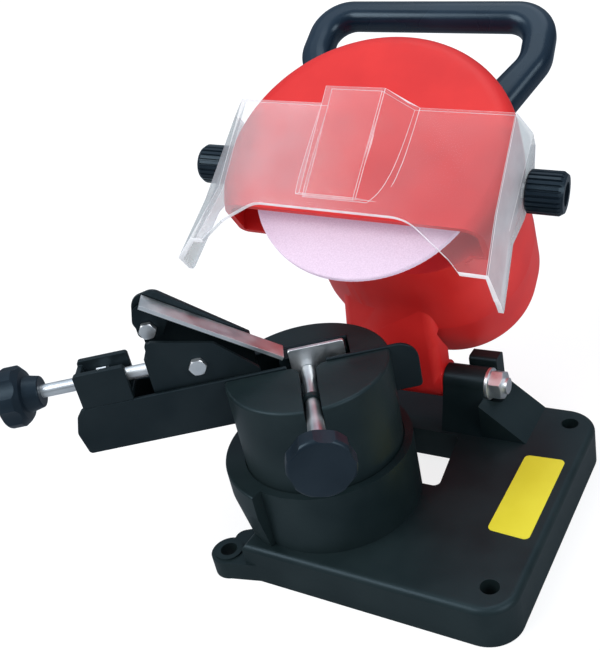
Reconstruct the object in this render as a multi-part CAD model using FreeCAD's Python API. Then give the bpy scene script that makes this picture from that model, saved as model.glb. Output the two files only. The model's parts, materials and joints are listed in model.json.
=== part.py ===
"""Electric chainsaw sharpener: bench base, swivelling chain vise and a tilting grinding head.

Units are millimetres. The origin is where the vise's swivel axis meets the underside of the
base. +Z is up, +Y points to the rear, where the head is hinged, and +X is the operator's right.
Three frames are used:
  base frame  the part's own frame,
  vise frame  turned about Z: +X runs along the chain rail, -Y towards the clamp knob,
  head frame  at the wheel's centre: +Z is the wheel's axis, towards the guard's front,
              and +Y points up the wheel's face, away from the hinge.
"""
import FreeCAD, Part
import math
import os

os.makedirs("parts", exist_ok=True)

# ---- fits
RUNNING = 0.05          # radial clearance of a shaft in its hole
FREE = 0.3              # gap between pieces that move past each other

# ---- fasteners (nominal radius, across flats, nut height)
M4_R, M4_AF, M4_NUT_H = 2.0, 7.0, 3.2
M4_HEAD_R, M4_HEAD_H = 3.8, 2.6
M6_R, M6_AF, M6_NUT_H = 3.0, 10.0, 5.0
M8_R, M8_AF, M8_NUT_H = 4.0, 13.0, 6.5
M8_WASHER_R, M8_WASHER_T = 8.0, 1.6

# ---- base casting
BASE_RIGHT = 100.5      # right edge of the plate
BASE_LEFT = -46.0       # left edge of the plate behind the drum
BASE_FRONT = -46.3
BASE_REAR = 91.0
BASE_FRONT_LEFT = -24.6  # where the front edge runs into the drum's housing
BASE_H = 20.0
BASE_TOP_T = 4.0        # thickness of the plate's top
BASE_SKIRT_T = 4.0      # thickness of its side walls
BASE_CORNER_R = 15.0
BASE_EDGE_R = 3.0       # rounding of the top edge
RIB_T = 3.0
BENCH_HOLE_R = 4.0
BENCH_BOSS_R = 8.5
BENCH_RIGHT_X = 88.4
BENCH_RIGHT_Y = (-32.7, 78.9)
BENCH_LEFT_X = -37.0
BENCH_LEFT_Y = (-42.0, 78.0)
EAR_R = 8.6
EAR_H = 9.5
EAR_RING_R, EAR_RING_H = 6.6, 0.8   # raised ring round each ear's hole
LABEL_RIGHT, LABEL_W = 94.5, 18.5
LABEL_NEAR, LABEL_LENGTH = -3.5, 54.5
LABEL_T = 0.3
WINDOW_FRONT, WINDOW_REAR = 17.5, 56.0
WINDOW_RIGHT_FRONT, WINDOW_RIGHT_REAR = 45.4, 40.0
WINDOW_LEFT = 8.0

# ---- drum housing on the base, and the swivelling drum
HOUSING_R = 41.0
HOUSING_TOP = 50.5
HOUSING_FLOOR_Z = 32.0
HOUSING_FLOOR_T = 6.0
SCALE_TAB_R = 46.4      # raised pad that carries the angle scale
SCALE_TAB_SPAN = 84.0   # degrees of arc
DRUM_R = 36.8
DRUM_WALL_GAP = 0.4     # between the drum and its housing
DRUM_TOP = 92.0
DRUM_CORE_R = 30.0      # hollow underside
DRUM_CORE_TOP = 62.0
DRUM_PIVOT_R = 7.0
VISE_AZIMUTH = 34.4     # the rail's angle from +X at the middle of the scale

# ---- lock knob under the drum
LOCK_KNOB_R = 13.0
LOCK_KNOB_H = 13.0
LOCK_KNOB_Z = 3.0

# ---- chain rail (vise frame)
CHANNEL_LEFT = -97.0    # the channel's floor and far wall run from here to past the jaws
RAIL_LEFT = -106.4      # the near wall's end bulges out to here
RAIL_END_DROP = 12.0    # from the rail's top down to that bulge
RAIL_BOTTOM, RAIL_TOP = 69.5, 93.0
RAIL_T = 2.0
RAIL_NEAR = -1.0        # outer face of the near wall
RAIL_W = 19.0
END_RIGHT = 49.0        # the near wall runs on past the drum
END_CORNER_R = 9.0
JAW_LEFT, JAW_RIGHT = -7.0, 18.0
JAW_TOP = 98.0
JAW_T = 2.0
JAW_NEAR = 4.0          # near face of the moving jaw
CHAIN_GAUGE = 1.4       # gap between the closed jaws
FIXED_JAW_LEFT, FIXED_JAW_RIGHT = -12.0, 19.0
FIXED_JAW_TOP = 92.6
CLAMP_Z = 86.5
CLAMP_KNOB_BACK = -52.0
STEM_R = 4.0            # the clamp screw's stem, where it enters the knob
NOTCH_SIDE = 0.8        # between the clamp screw and each side of its notch
NOTCH_W = 2 * (M6_R + NOTCH_SIDE)
MOUTH_R = 5.0           # rounding of the notch where it opens into the rail
SADDLE_NEAR, SADDLE_T = -23.0, 2.5   # the threaded eye across the notch

# ---- chain stop and its adjustment (vise frame)
BLOCK_LEFT, BLOCK_RIGHT = -100.0, -77.0
BLOCK_TOP = 110.0
BLOCK_WALL_T = 2.9
BLOCK_GAP = M6_AF + 0.2
ADJUST_Z = 102.0
ADJUST_KNOB_BACK = -117.0
CARRIAGE_LEFT = -68.0
CARRIAGE_T = 2.0
CARRIAGE_RIGHT = -22.0
CHEEK_EDGE = 9.0        # from the tie bolt to the near cheek's corner
CHEEK_RISE = 17.0       # the far cheek stands this far above the pawl's pivot
PAWL_BACK_R = 6.5
PAWL_PIVOT = (-64.5, 119.0)
TIE_BOLT = (-46.0, 102.0)
PAWL_TIP_U = -9.5
PAWL_TIP_Z = 93.6
PAWL_T = 1.5
PAWL_W = 10.5           # width of its flange
PAWL_FREE = 0.5         # between its leaf and the far cheek

# ---- mushroom knobs of both screws
KNOB_R = 13.7
KNOB_H = 10.5
KNOB_HUB_R = 7.0
KNOB_HUB_H = 6.5
KNOB_LOBES = 6
KNOB_SCALLOP_R = 14.0   # radius of the shallow hollows between the lobes
KNOB_SCALLOP_IN = 1.3   # and their depth

# ---- head hinge (base frame)
HINGE_Y, HINGE_Z = 74.0, 41.0
HINGE_MID_X = 3.0
BARREL_R = 9.5
BARREL_W = 54.0
LUG_BOSS_R = 8.0
LUG_W = 21.0
SPRING_ROOM = 10.0
SPRING_R, SPRING_WIRE_R = 7.0, 0.9
GUSSET_RUN = 22.0
GUSSET_FRONT, GUSSET_REAR = 58.0, 89.0
REST_LEFT, REST_RIGHT = 38.5, 53.0   # the stop that the raised head leans on
REST_T, REST_TOP = 9.0, 50.0

# ---- head (head frame)
HEAD_LEAN = 36.5        # slope of the wheel's face from the horizontal, head raised
HEAD_SKEW = 8.0         # the wheel's face is turned this much on the arm, for the down angle
WHEEL_SIDE = 6.0        # wheel's centre from the hinge's middle, head raised: to the right,
WHEEL_FORWARD = 8.0     # forward
WHEEL_RISE = 113.7      # and up
WHEEL_R, WHEEL_T, WHEEL_BORE_R = 54.0, 3.2, 11.5
FLANGE_R, FLANGE_T = 17.0, 3.4
ARBOR_NUT_AF, ARBOR_NUT_H = 15.0, 5.0
SHAFT_R = 5.0
BEARING_BORE_R = 4.0
BEARING_R, BEARING_W = 11.0, 7.0
WHEEL_ROOM = 3.0        # between the wheel's rim and the posts for the guard's screws
GUARD_POST_R = 3.5
GUARD_POST_IN = 7.5     # from the guard's rim to each post's axis
GUARD_SCREW_RADIUS = WHEEL_R + WHEEL_ROOM + GUARD_POST_R
GUARD_R = GUARD_SCREW_RADIUS + GUARD_POST_IN
GUARD_FRONT, GUARD_BACK = 13.5, -14.0
GUARD_T = 2.5
GUARD_EDGE_R = 9.0
GUARD_CHORD = -30.0     # the guard ends at this chord, and the wheel shows below it
MOTOR_LEFT, MOTOR_RIGHT = -40.0, 66.5   # the housing's sides, around the motor and the switch
MOTOR_LOW, MOTOR_HIGH = -46.5, 44.0
MOTOR_CORNER_R = 42.0
MOTOR_FRONT_IN = 4.5    # how much smaller the housing is at the guard
MOTOR_T = 3.0
MOTOR_SEAM = -64.0
MOTOR_END = -100.0
MOTOR_EDGE_R = 5.0
COLUMN_R = 4.5          # columns for the cover's screws
COLUMN_IN = 8.0         # their distance in from the housing's outside
COLUMN_GRIP = 14.0
STATOR_R = 24.0
REAR_BEARING_Z = -86.0

# ---- screws of the head (head frame)
GUARD_SCREW_ANGLES = (65.0, 115.0, 160.0)
HANDLE_SCREW_IN = 6.0   # from the guard's rim to each screw's axis
HANDLE_SCREW_ANGLE = 48.6
HANDLE_SCREW_R, HANDLE_SCREW_HEAD_R = 2.5, 4.6
HANDLE_BOSS_R, HANDLE_BOSS_TOP = 5.0, -5.0

# ---- depth stop on the arm (hinge frame)
DEPTH_X, DEPTH_Y = -17.0, -18.0
DEPTH_LUG_LOW, DEPTH_LUG_HIGH = -7.0, 1.0
DEPTH_TIP, DEPTH_HEAD = -15.8, 10.0
DEPTH_KNOB_R = 6.0

# ---- handle (head frame)
HANDLE_TOP = GUARD_R + 42.0
HANDLE_HALF_W = GUARD_R - 5.5
HANDLE_BAR = 14.5
HANDLE_LEG = 14.5
HANDLE_T = 14.0
HANDLE_EDGE_R = 6.0

# ---- visor (head frame)
VISOR_PIVOT_Y, VISOR_PIVOT_Z = -0.5, -4.0
VISOR_T = 2.0
VISOR_GAP = 1.0         # between the guard's rim and each cheek
VISOR_CHEEK_X = GUARD_R + VISOR_GAP + VISOR_T   # outer face of each cheek
VISOR_FRONT = GUARD_FRONT + 10.5   # outer face of the front panel
VISOR_SHOULDER = 10.0   # where the slanted sides meet the cheeks
VISOR_BACK = -12.0
VISOR_TOP, VISOR_FOLD, VISOR_TIP = 19.0, -27.0, -58.0
VISOR_LIP = -33.0       # the lower edge of the front panel in the middle
VISOR_TOP_X = (-61.0, 66.0)     # left and right edges of the front panel: at the top,
VISOR_FOLD_X = (-57.0, 68.0)    # at the fold
VISOR_TIP_X = (-63.0, 71.0)     # and at the tips
VISOR_FLARE = 3.0       # the cheeks spread this much towards their tips
VISOR_BOX_RISE = 13.0   # the raised window stands this far out at its top
VISOR_KNOB_R, VISOR_KNOB_L = 9.4, 16.0
VISOR_STUD_R = 3.0
VISOR_BOSS_R = 6.5
VISOR_BOSS_DEEP = 7.0   # how far each pad reaches into the guard


def vec(x, y, z):
    return FreeCAD.Vector(x, y, z)


X_AXIS, Y_AXIS, Z_AXIS = vec(1, 0, 0), vec(0, 1, 0), vec(0, 0, 1)


# ---------------------------------------------------------------- general shapes

def rod(centre, axis, radius, length):
    """A cylinder that starts at centre and runs along axis."""
    return Part.makeCylinder(radius, length, centre, axis)


def ring(centre, axis, outer, inner, length):
    hole = Part.makeCylinder(inner, length + 2, centre - axis * 1.0, axis)
    return rod(centre, axis, outer, length).cut(hole)


def block(x0, x1, y0, y1, z0, z1):
    return Part.makeBox(x1 - x0, y1 - y0, z1 - z0, vec(x0, y0, z0))


def rounded_wire(corners, place):
    """A closed wire through corners (a, b, radius), with place(a, b) giving points in space."""
    stops = []
    count = len(corners)
    for i, (a, b, radius) in enumerate(corners):
        here = vec(a, b, 0)
        to_last = (vec(*corners[i - 1][:2], 0) - here).normalize()
        to_next = (vec(*corners[(i + 1) % count][:2], 0) - here).normalize()
        half = to_last.getAngle(to_next) / 2
        if radius <= 0:
            stops.append((here, None, here))
            continue
        run = radius / math.tan(half)
        middle = (to_last + to_next).normalize() * (radius / math.sin(half) - radius)
        stops.append((here + to_last * run, here + middle, here + to_next * run))
    edges = []
    for i, (start, middle, end) in enumerate(stops):
        if middle:
            edges.append(Part.Arc(place(start), place(middle), place(end)).toShape())
        after = stops[(i + 1) % count][0]
        if (after - end).Length > 1e-6:
            edges.append(Part.LineSegment(place(end), place(after)).toShape())
    return Part.Wire(edges)


PLANES = {
    "x": (lambda level: lambda p: vec(level, p.x, p.y), X_AXIS),
    "y": (lambda level: lambda p: vec(p.x, level, p.y), Y_AXIS),
    "z": (lambda level: lambda p: vec(p.x, p.y, level), Z_AXIS),
}


def slab(corners, low, high, normal="z"):
    """A flat piece with rounded corners, between two levels along the normal."""
    place, direction = PLANES[normal]
    face = Part.Face(rounded_wire(corners, place(low)))
    return face.extrude(direction * (high - low))


def lofted(sections):
    """A solid with flat or ruled sides through (level, corners) sections stacked along Z."""
    wires = [rounded_wire(corners, PLANES["z"][0](level)) for level, corners in sections]
    return Part.makeLoft(wires, True, True)


def spun(profile, centre=vec(0, 0, 0), axis=Z_AXIS):
    """A solid of revolution. The profile is (radius, height, corner radius) about the axis."""
    wire = rounded_wire(profile, lambda p: vec(p.x, 0, p.y))
    solid = Part.Face(wire).revolve(vec(0, 0, 0), Z_AXIS, 360)
    turn = FreeCAD.Rotation(Z_AXIS, axis)
    solid.Placement = FreeCAD.Placement(centre, turn)
    return solid


def hexagon(centre, axis, across_flats, length, bore=0.0):
    """A hexagonal bar, or a nut if it has a bore, with its ends chamfered by a cone."""
    corner_r = across_flats / math.sqrt(3)
    points = [vec(corner_r * math.cos(math.radians(60 * i)),
                  corner_r * math.sin(math.radians(60 * i)), 0) for i in range(7)]
    solid = Part.Face(Part.makePolygon(points)).extrude(vec(0, 0, length))
    chamfer = corner_r - across_flats / 2
    crown = spun([(0, 0, 0), (across_flats / 2, 0, 0), (corner_r, chamfer * 0.6, 0),
                  (corner_r, length - chamfer * 0.6, 0), (across_flats / 2, length, 0),
                  (0, length, 0)])
    solid = solid.common(crown)
    if bore:
        solid = solid.cut(rod(vec(0, 0, -1), Z_AXIS, bore, length + 2))
    solid.Placement = FreeCAD.Placement(centre, FreeCAD.Rotation(Z_AXIS, axis))
    return solid


def cap_screw(head_at, axis, radius, head_radius, head_h, length):
    """A pan-head screw: head_at is under the head, axis points along the shank."""
    head = spun([(0, -head_h, 0), (head_radius, -head_h, head_h * 0.5), (head_radius, 0, 0),
                 (0, 0, 0)], head_at, axis)
    return head.fuse(rod(head_at, axis, radius, length))


def mushroom_knob(back, axis):
    """A moulded screw knob: a hub at the back and a lobed head with a rounded rim in front."""
    front = KNOB_HUB_H + KNOB_H
    knob = spun([(0, 0, 0), (KNOB_HUB_R, 0, 0.8), (KNOB_HUB_R + 1.5, KNOB_HUB_H, 0),
                 (KNOB_R - 2.5, KNOB_HUB_H + 0.5, 0), (KNOB_R, KNOB_HUB_H + 3.0, 0),
                 (KNOB_R, front, 2.0), (0, front, 0)])
    reach = KNOB_R + KNOB_SCALLOP_R - KNOB_SCALLOP_IN
    for i in range(KNOB_LOBES):
        turn = 2 * math.pi * (i + 0.25) / KNOB_LOBES
        hollow = rod(vec(reach * math.cos(turn), reach * math.sin(turn), KNOB_HUB_H),
                     Z_AXIS, KNOB_SCALLOP_R, KNOB_H + 1)
        knob = knob.cut(hollow)
    knob.Placement = FreeCAD.Placement(back, FreeCAD.Rotation(Z_AXIS, axis))
    return knob


def ribbed_knob(back, axis):
    """A small knob with ribs all round and a recess for its insert in the end."""
    ribs = 24
    points = []
    for i in range(ribs):
        for step, radius in ((0.0, VISOR_KNOB_R), (0.55, VISOR_KNOB_R),
                             (0.68, VISOR_KNOB_R - 0.8), (0.87, VISOR_KNOB_R - 0.8)):
            turn = 2 * math.pi * (i + step) / ribs
            points.append(vec(radius * math.cos(turn), radius * math.sin(turn), 0))
    solid = Part.Face(Part.makePolygon(points + points[:1])).extrude(vec(0, 0, VISOR_KNOB_L))
    waist = VISOR_KNOB_R - 1.3
    crown = spun([(0, 0, 0), (waist, 0, 0), (VISOR_KNOB_R, 1.0, 0),
                  (VISOR_KNOB_R, VISOR_KNOB_L - 2.0, 0), (waist, VISOR_KNOB_L, 0),
                  (0, VISOR_KNOB_L, 0)])
    solid = solid.common(crown)
    solid = solid.cut(rod(vec(0, 0, VISOR_KNOB_L - 2.0), Z_AXIS, VISOR_KNOB_R * 0.55, 3))
    solid.Placement = FreeCAD.Placement(back, FreeCAD.Rotation(Z_AXIS, axis))
    return solid


def group(solids):
    """Separate solids that share one node."""
    return Part.makeCompound(solids)


# ---------------------------------------------------------------- frames

VISE_FRAME = FreeCAD.Placement(vec(0, 0, 0), FreeCAD.Rotation(Z_AXIS, VISE_AZIMUTH))
HEAD_TURN = FreeCAD.Rotation(X_AXIS, HEAD_LEAN).multiply(FreeCAD.Rotation(Y_AXIS, HEAD_SKEW))
HINGE = vec(HINGE_MID_X, HINGE_Y, HINGE_Z)
WHEEL_CENTRE = HINGE + vec(WHEEL_SIDE, -WHEEL_FORWARD, WHEEL_RISE)
HEAD_FRAME = FreeCAD.Placement(WHEEL_CENTRE, HEAD_TURN)
HINGE_FRAME = FreeCAD.Placement(HINGE, FreeCAD.Rotation())
BASE_FRAME = FreeCAD.Placement()


def save(name, shape, frame=BASE_FRAME):
    placed = shape.copy()
    placed.Placement = frame.multiply(shape.Placement)
    placed.exportStep("parts/" + name + ".step")


# ---------------------------------------------------------------- base

LUG_RIGHT_IN = HINGE_MID_X + BARREL_W / 2 + FREE
LUG_RIGHT_OUT = LUG_RIGHT_IN + LUG_W
LUG_LEFT_IN = HINGE_MID_X - BARREL_W / 2 - SPRING_ROOM
LUG_LEFT_OUT = LUG_LEFT_IN - LUG_W * 0.6
BORE_R = DRUM_R + DRUM_WALL_GAP


def plate_corners(inset):
    """The plate's outline, moved in by inset."""
    corner = BASE_CORNER_R - inset
    return [(BASE_FRONT_LEFT + inset, BASE_FRONT + inset, 0),
            (BASE_RIGHT - inset, BASE_FRONT + inset, corner),
            (BASE_RIGHT - inset, BASE_REAR - inset, corner),
            (BASE_LEFT + inset, BASE_REAR - inset, corner),
            (BASE_LEFT + inset, HOUSING_R * 0.55 + inset, 6),
            (BASE_FRONT_LEFT + inset, HOUSING_R * 0.1, 0)]


def window_corners():
    return [(WINDOW_RIGHT_FRONT, WINDOW_FRONT, 3), (WINDOW_RIGHT_REAR, WINDOW_REAR, 3),
            (WINDOW_LEFT, WINDOW_REAR, 3), (WINDOW_LEFT, WINDOW_FRONT, 0)]


def bench_holes():
    return ([(BENCH_RIGHT_X, y) for y in BENCH_RIGHT_Y] +
            [(BENCH_LEFT_X, y) for y in BENCH_LEFT_Y])


def hinge_lug(x_in, x_out):
    """A lug for the hinge bolt, with the rest for the raised head behind it."""
    low, high = min(x_in, x_out), max(x_in, x_out)
    foot_front, foot_rear = WINDOW_REAR, BASE_REAR - 1.0
    web = slab([(foot_front, BASE_H - BASE_TOP_T, 0), (foot_rear, BASE_H - BASE_TOP_T, 0),
                (foot_rear, BASE_H + 12, 4), (HINGE_Y + LUG_BOSS_R, HINGE_Z, 0),
                (HINGE_Y - LUG_BOSS_R, HINGE_Z, 0)], low, high, "x")
    return web.fuse(rod(vec(low, HINGE_Y, HINGE_Z), X_AXIS, LUG_BOSS_R, high - low))


def lug_gusset(x_start, run):
    """A sloping web from a lug's outer face down to the plate."""
    end = x_start + run
    slope = slab([(x_start, BASE_H - BASE_TOP_T, 0), (end, BASE_H - BASE_TOP_T, 0),
                  (end, BASE_H, 0), (x_start, HINGE_Z - 3.0, 0)],
                 GUSSET_FRONT, GUSSET_REAR, "y")
    return slope


def base_casting():
    outer = slab(plate_corners(0), 0, BASE_H)
    top_edges = [e for e in outer.Edges if abs(e.BoundBox.ZMin - BASE_H) < 0.01
                 and (e.BoundBox.YMin < BASE_FRONT + 0.01 or e.BoundBox.XMax > BASE_RIGHT - 16
                      or e.BoundBox.YMax > BASE_REAR - 16)]
    outer = outer.makeFillet(BASE_EDGE_R, top_edges)
    hollow = slab(plate_corners(BASE_SKIRT_T), -1, BASE_H - BASE_TOP_T)
    shell = outer.cut(hollow)
    keep = [rod(vec(x, y, 0), Z_AXIS, BENCH_BOSS_R, BASE_H - 1) for x, y in bench_holes()
            if x > 0 or y > 0]
    window_frame = slab([(WINDOW_RIGHT_FRONT + 4, WINDOW_FRONT - 4, 4),
                         (WINDOW_RIGHT_REAR + 4, WINDOW_REAR + 4, 4),
                         (WINDOW_LEFT - 4, WINDOW_REAR + 4, 4),
                         (WINDOW_LEFT - 4, WINDOW_FRONT - 4, 4)], 4, BASE_H - 1)
    keep.append(window_frame)
    for y in (-14.0, 64.0):
        keep.append(block(30, BASE_RIGHT - BASE_SKIRT_T, y, y + RIB_T, 4, BASE_H - 1))
    keep.append(block(66, 66 + RIB_T, BASE_FRONT + 2, BASE_REAR - 2, 4, BASE_H - 1))
    keep.append(rod(vec(0, 0, 0), Z_AXIS, HOUSING_R, HOUSING_TOP))
    keep.append(scale_tab())
    keep.append(ear(BENCH_LEFT_Y[0]))
    keep.append(hinge_lug(LUG_RIGHT_IN, LUG_RIGHT_OUT))
    keep.append(hinge_lug(LUG_LEFT_IN, LUG_LEFT_OUT))
    keep.append(lug_gusset(LUG_RIGHT_OUT, GUSSET_RUN))
    keep.append(head_rest())
    body = shell.multiFuse(keep)
    cuts = [slab(window_corners(), -1, BASE_H + 1).cut(
        rod(vec(0, 0, -2), Z_AXIS, HOUSING_R, BASE_H + 4))]
    cuts.append(rod(vec(0, 0, HOUSING_FLOOR_Z), Z_AXIS, BORE_R, HOUSING_TOP))
    cuts.append(rod(vec(0, 0, -1), Z_AXIS, BORE_R - 3.0,
                    HOUSING_FLOOR_Z - HOUSING_FLOOR_T + 1))
    cuts.append(rod(vec(0, 0, -1), Z_AXIS, DRUM_PIVOT_R + RUNNING, HOUSING_TOP))
    for x, y in bench_holes():
        cuts.append(rod(vec(x, y, -1), Z_AXIS, BENCH_HOLE_R, BASE_H + 2))
    cuts.append(rod(vec(LUG_LEFT_OUT - 1, HINGE_Y, HINGE_Z), X_AXIS, M8_R + RUNNING,
                    LUG_RIGHT_OUT - LUG_LEFT_OUT + 2))
    cuts.append(rod(vec(LUG_RIGHT_OUT, HINGE_Y, HINGE_Z), X_AXIS, M8_WASHER_R + 0.6, GUSSET_RUN))
    for cut in cuts:
        body = body.cut(cut)
    return body.removeSplitter()


def ear(y):
    """A low round ear with a raised ring at its bench hole, on a neck from the housing's foot."""
    x = BENCH_LEFT_X
    neck = slab([(x, y - EAR_R, 0), (BASE_FRONT_LEFT + 6, BASE_FRONT, 0), (BASE_FRONT_LEFT, -20, 0),
                 (x - 3, y + EAR_R + 4, 5), (x - 2, y + EAR_R - 1, 0)], 0, EAR_H)
    disc = rod(vec(x, y, 0), Z_AXIS, EAR_R, EAR_H)
    return neck.fuse(disc).fuse(rod(vec(x, y, 0), Z_AXIS, EAR_RING_R, EAR_H + EAR_RING_H))


def scale_tab():
    """The pad on the housing's outside under the rail, bevelled at its lower edge."""
    middle = 180 + VISE_AZIMUTH
    pad = spun([(HOUSING_R - 3, BASE_H * 0.3, 0), (HOUSING_R, BASE_H * 0.3, 0),
                (SCALE_TAB_R, HOUSING_TOP - 12, 1.5), (SCALE_TAB_R, HOUSING_TOP, 1),
                (HOUSING_R - 3, HOUSING_TOP, 0)])
    reach = SCALE_TAB_R * 2
    start = math.radians(middle - SCALE_TAB_SPAN / 2)
    stop = math.radians(middle + SCALE_TAB_SPAN / 2)
    sector = Part.makePolygon([vec(0, 0, 0),
                               vec(reach * math.cos(start), reach * math.sin(start), 0),
                               vec(reach * math.cos(stop), reach * math.sin(stop), 0),
                               vec(0, 0, 0)])
    return pad.common(Part.Face(sector).extrude(vec(0, 0, HOUSING_TOP + 1)))


def head_rest():
    """The upright stop behind the right lug, just under the raised head's motor."""
    return slab([(BASE_REAR - REST_T, BASE_H - 2, 0), (BASE_REAR, BASE_H - 2, 0),
                 (BASE_REAR, REST_TOP, 2), (BASE_REAR - REST_T, REST_TOP, 2)],
                REST_LEFT, REST_RIGHT, "x")


def hinge_bolt():
    start = LUG_LEFT_OUT - M8_WASHER_T
    end = LUG_RIGHT_OUT + M8_WASHER_T + M8_NUT_H + 2.0
    shank = rod(vec(start, HINGE_Y, HINGE_Z), X_AXIS, M8_R, end - start)
    return shank.fuse(hexagon(vec(start, HINGE_Y, HINGE_Z), -X_AXIS, M8_AF, 5.3))


def hinge_washers():
    gap = M8_R + RUNNING
    return group([ring(vec(LUG_LEFT_OUT - M8_WASHER_T, HINGE_Y, HINGE_Z), X_AXIS,
                       M8_WASHER_R, gap, M8_WASHER_T),
                  ring(vec(LUG_RIGHT_OUT, HINGE_Y, HINGE_Z), X_AXIS,
                       M8_WASHER_R, gap, M8_WASHER_T)])


def hinge_nut():
    return hexagon(vec(LUG_RIGHT_OUT + M8_WASHER_T, HINGE_Y, HINGE_Z), X_AXIS, M8_AF,
                   M8_NUT_H, M8_R)


def rating_label():
    """A plain sticker on the plate's right side."""
    left, right = LABEL_RIGHT - LABEL_W, LABEL_RIGHT
    near, far = LABEL_NEAR, LABEL_NEAR + LABEL_LENGTH
    return slab([(left, near + 1, 2.5), (right, near, 2.5), (right, far, 2.5), (left, far - 1, 2.5)],
                BASE_H, BASE_H + LABEL_T)


def save_base():
    save("base_casting", base_casting())
    save("hinge_bolt", hinge_bolt())
    save("hinge_washers", hinge_washers())
    save("hinge_nut", hinge_nut())
    save("base_label", rating_label())


# ---------------------------------------------------------------- vise

RAIL_FAR = RAIL_NEAR + RAIL_W
CHANNEL_RIGHT = FIXED_JAW_RIGHT + 1.0
ADJUST_Y = RAIL_NEAR + BLOCK_WALL_T + BLOCK_GAP / 2


def drum():
    body = rod(vec(0, 0, HOUSING_FLOOR_Z + FREE), Z_AXIS, DRUM_R,
               DRUM_TOP - HOUSING_FLOOR_Z - FREE)
    rim = [e for e in body.Edges if abs(e.BoundBox.ZMin - DRUM_TOP) < 0.01]
    body = body.makeFillet(1.5, rim)
    body = body.cut(ring(vec(0, 0, 0), Z_AXIS, DRUM_CORE_R, DRUM_PIVOT_R + 4, DRUM_CORE_TOP))
    pivot_end = HOUSING_FLOOR_Z - HOUSING_FLOOR_T
    body = body.fuse(rod(vec(0, 0, pivot_end), Z_AXIS, DRUM_PIVOT_R,
                         HOUSING_FLOOR_Z - pivot_end + 2))
    body = body.cut(block(-DRUM_R - 1, CHANNEL_RIGHT, RAIL_NEAR, RAIL_FAR, RAIL_BOTTOM,
                          DRUM_TOP + 1))
    body = body.cut(block(0, DRUM_R + 1, RAIL_NEAR, RAIL_NEAR + RAIL_T, RAIL_BOTTOM,
                          DRUM_TOP + 1))
    body = body.cut(clamp_notch())
    eye = ring(vec(0, SADDLE_NEAR, CLAMP_Z), Y_AXIS, NOTCH_W / 2 + 0.5, M6_R + RUNNING, SADDLE_T)
    body = body.fuse(eye)
    return body.cut(rod(vec(0, 0, 0), Z_AXIS, M8_R, pivot_end + 24))


def clamp_notch():
    """The clamp screw's notch, open at the top, with a flared mouth at the rail."""
    half, flare = NOTCH_W / 2, NOTCH_W / 2 + MOUTH_R
    return slab([(-half, -DRUM_R - 1, 0), (half, -DRUM_R - 1, 0), (half, RAIL_NEAR, MOUTH_R),
                 (flare, RAIL_NEAR, 0), (flare, RAIL_NEAR + RAIL_T, 0),
                 (-flare, RAIL_NEAR + RAIL_T, 0), (-flare, RAIL_NEAR, 0),
                 (-half, RAIL_NEAR, MOUTH_R)], CLAMP_Z - half, RAIL_TOP + 1)


def chain_rail():
    """A steel channel. Its near wall runs on past the drum and is rounded at both ends."""
    near = slab([(RAIL_LEFT + 2.2, RAIL_BOTTOM, 2), (END_RIGHT, RAIL_BOTTOM, 2),
                 (END_RIGHT, RAIL_TOP, END_CORNER_R), (RAIL_LEFT + 5.4, RAIL_TOP, 1.5),
                 (RAIL_LEFT + 2.5, RAIL_TOP - 3.7, 3), (RAIL_LEFT, RAIL_TOP - RAIL_END_DROP, 4)],
                RAIL_NEAR, RAIL_NEAR + RAIL_T, "y")
    floor = block(CHANNEL_LEFT, CHANNEL_RIGHT, RAIL_NEAR, RAIL_FAR, RAIL_BOTTOM,
                  RAIL_BOTTOM + RAIL_T)
    far = block(CHANNEL_LEFT, CHANNEL_RIGHT, RAIL_FAR - RAIL_T, RAIL_FAR, RAIL_BOTTOM, RAIL_TOP)
    body = near.fuse(floor).fuse(far).cut(clamp_notch())
    return body.removeSplitter()


def fixed_jaw():
    near = JAW_NEAR + JAW_T + CHAIN_GAUGE
    return slab([(FIXED_JAW_LEFT, RAIL_BOTTOM + RAIL_T, 0), (FIXED_JAW_RIGHT, RAIL_BOTTOM + RAIL_T, 0),
                 (FIXED_JAW_RIGHT, FIXED_JAW_TOP, 2), (FIXED_JAW_LEFT, FIXED_JAW_TOP, 2)],
                near, RAIL_FAR - RAIL_T, "y")


def clamp_jaw():
    """The moving jaw plate, with the socket that the clamp screw's tip turns in."""
    plate = slab([(JAW_LEFT, RAIL_BOTTOM + RAIL_T + FREE, 1), (JAW_RIGHT, RAIL_BOTTOM + RAIL_T + FREE, 1),
                  (JAW_RIGHT, JAW_TOP, 1), (JAW_LEFT, JAW_TOP, 1)],
                 JAW_NEAR, JAW_NEAR + JAW_T, "y")
    return plate.cut(rod(vec(0, JAW_NEAR - 1, CLAMP_Z), Y_AXIS, M4_R + RUNNING, JAW_T + 2))


def clamp_screw():
    """The clamp screw: a tip in the jaw, the thread, and a stem that widens to the knob."""
    tip_end, thread_end = JAW_NEAR + JAW_T, JAW_NEAR - FREE
    stem_start = SADDLE_NEAR - FREE
    start = CLAMP_KNOB_BACK - KNOB_HUB_H
    return spun([(0, start, 0), (STEM_R, start, 0), (STEM_R, CLAMP_KNOB_BACK, 0),
                 (M6_R, stem_start, 0), (M6_R, thread_end, 0), (M4_R, thread_end, 0),
                 (M4_R, tip_end, 0), (0, tip_end, 0)], vec(0, 0, CLAMP_Z), Y_AXIS)


def clamp_knob():
    knob = mushroom_knob(vec(0, CLAMP_KNOB_BACK, CLAMP_Z), -Y_AXIS)
    return knob.cut(rod(vec(0, CLAMP_KNOB_BACK - KNOB_HUB_H, CLAMP_Z), Y_AXIS, STEM_R,
                        KNOB_HUB_H + 1))


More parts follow.
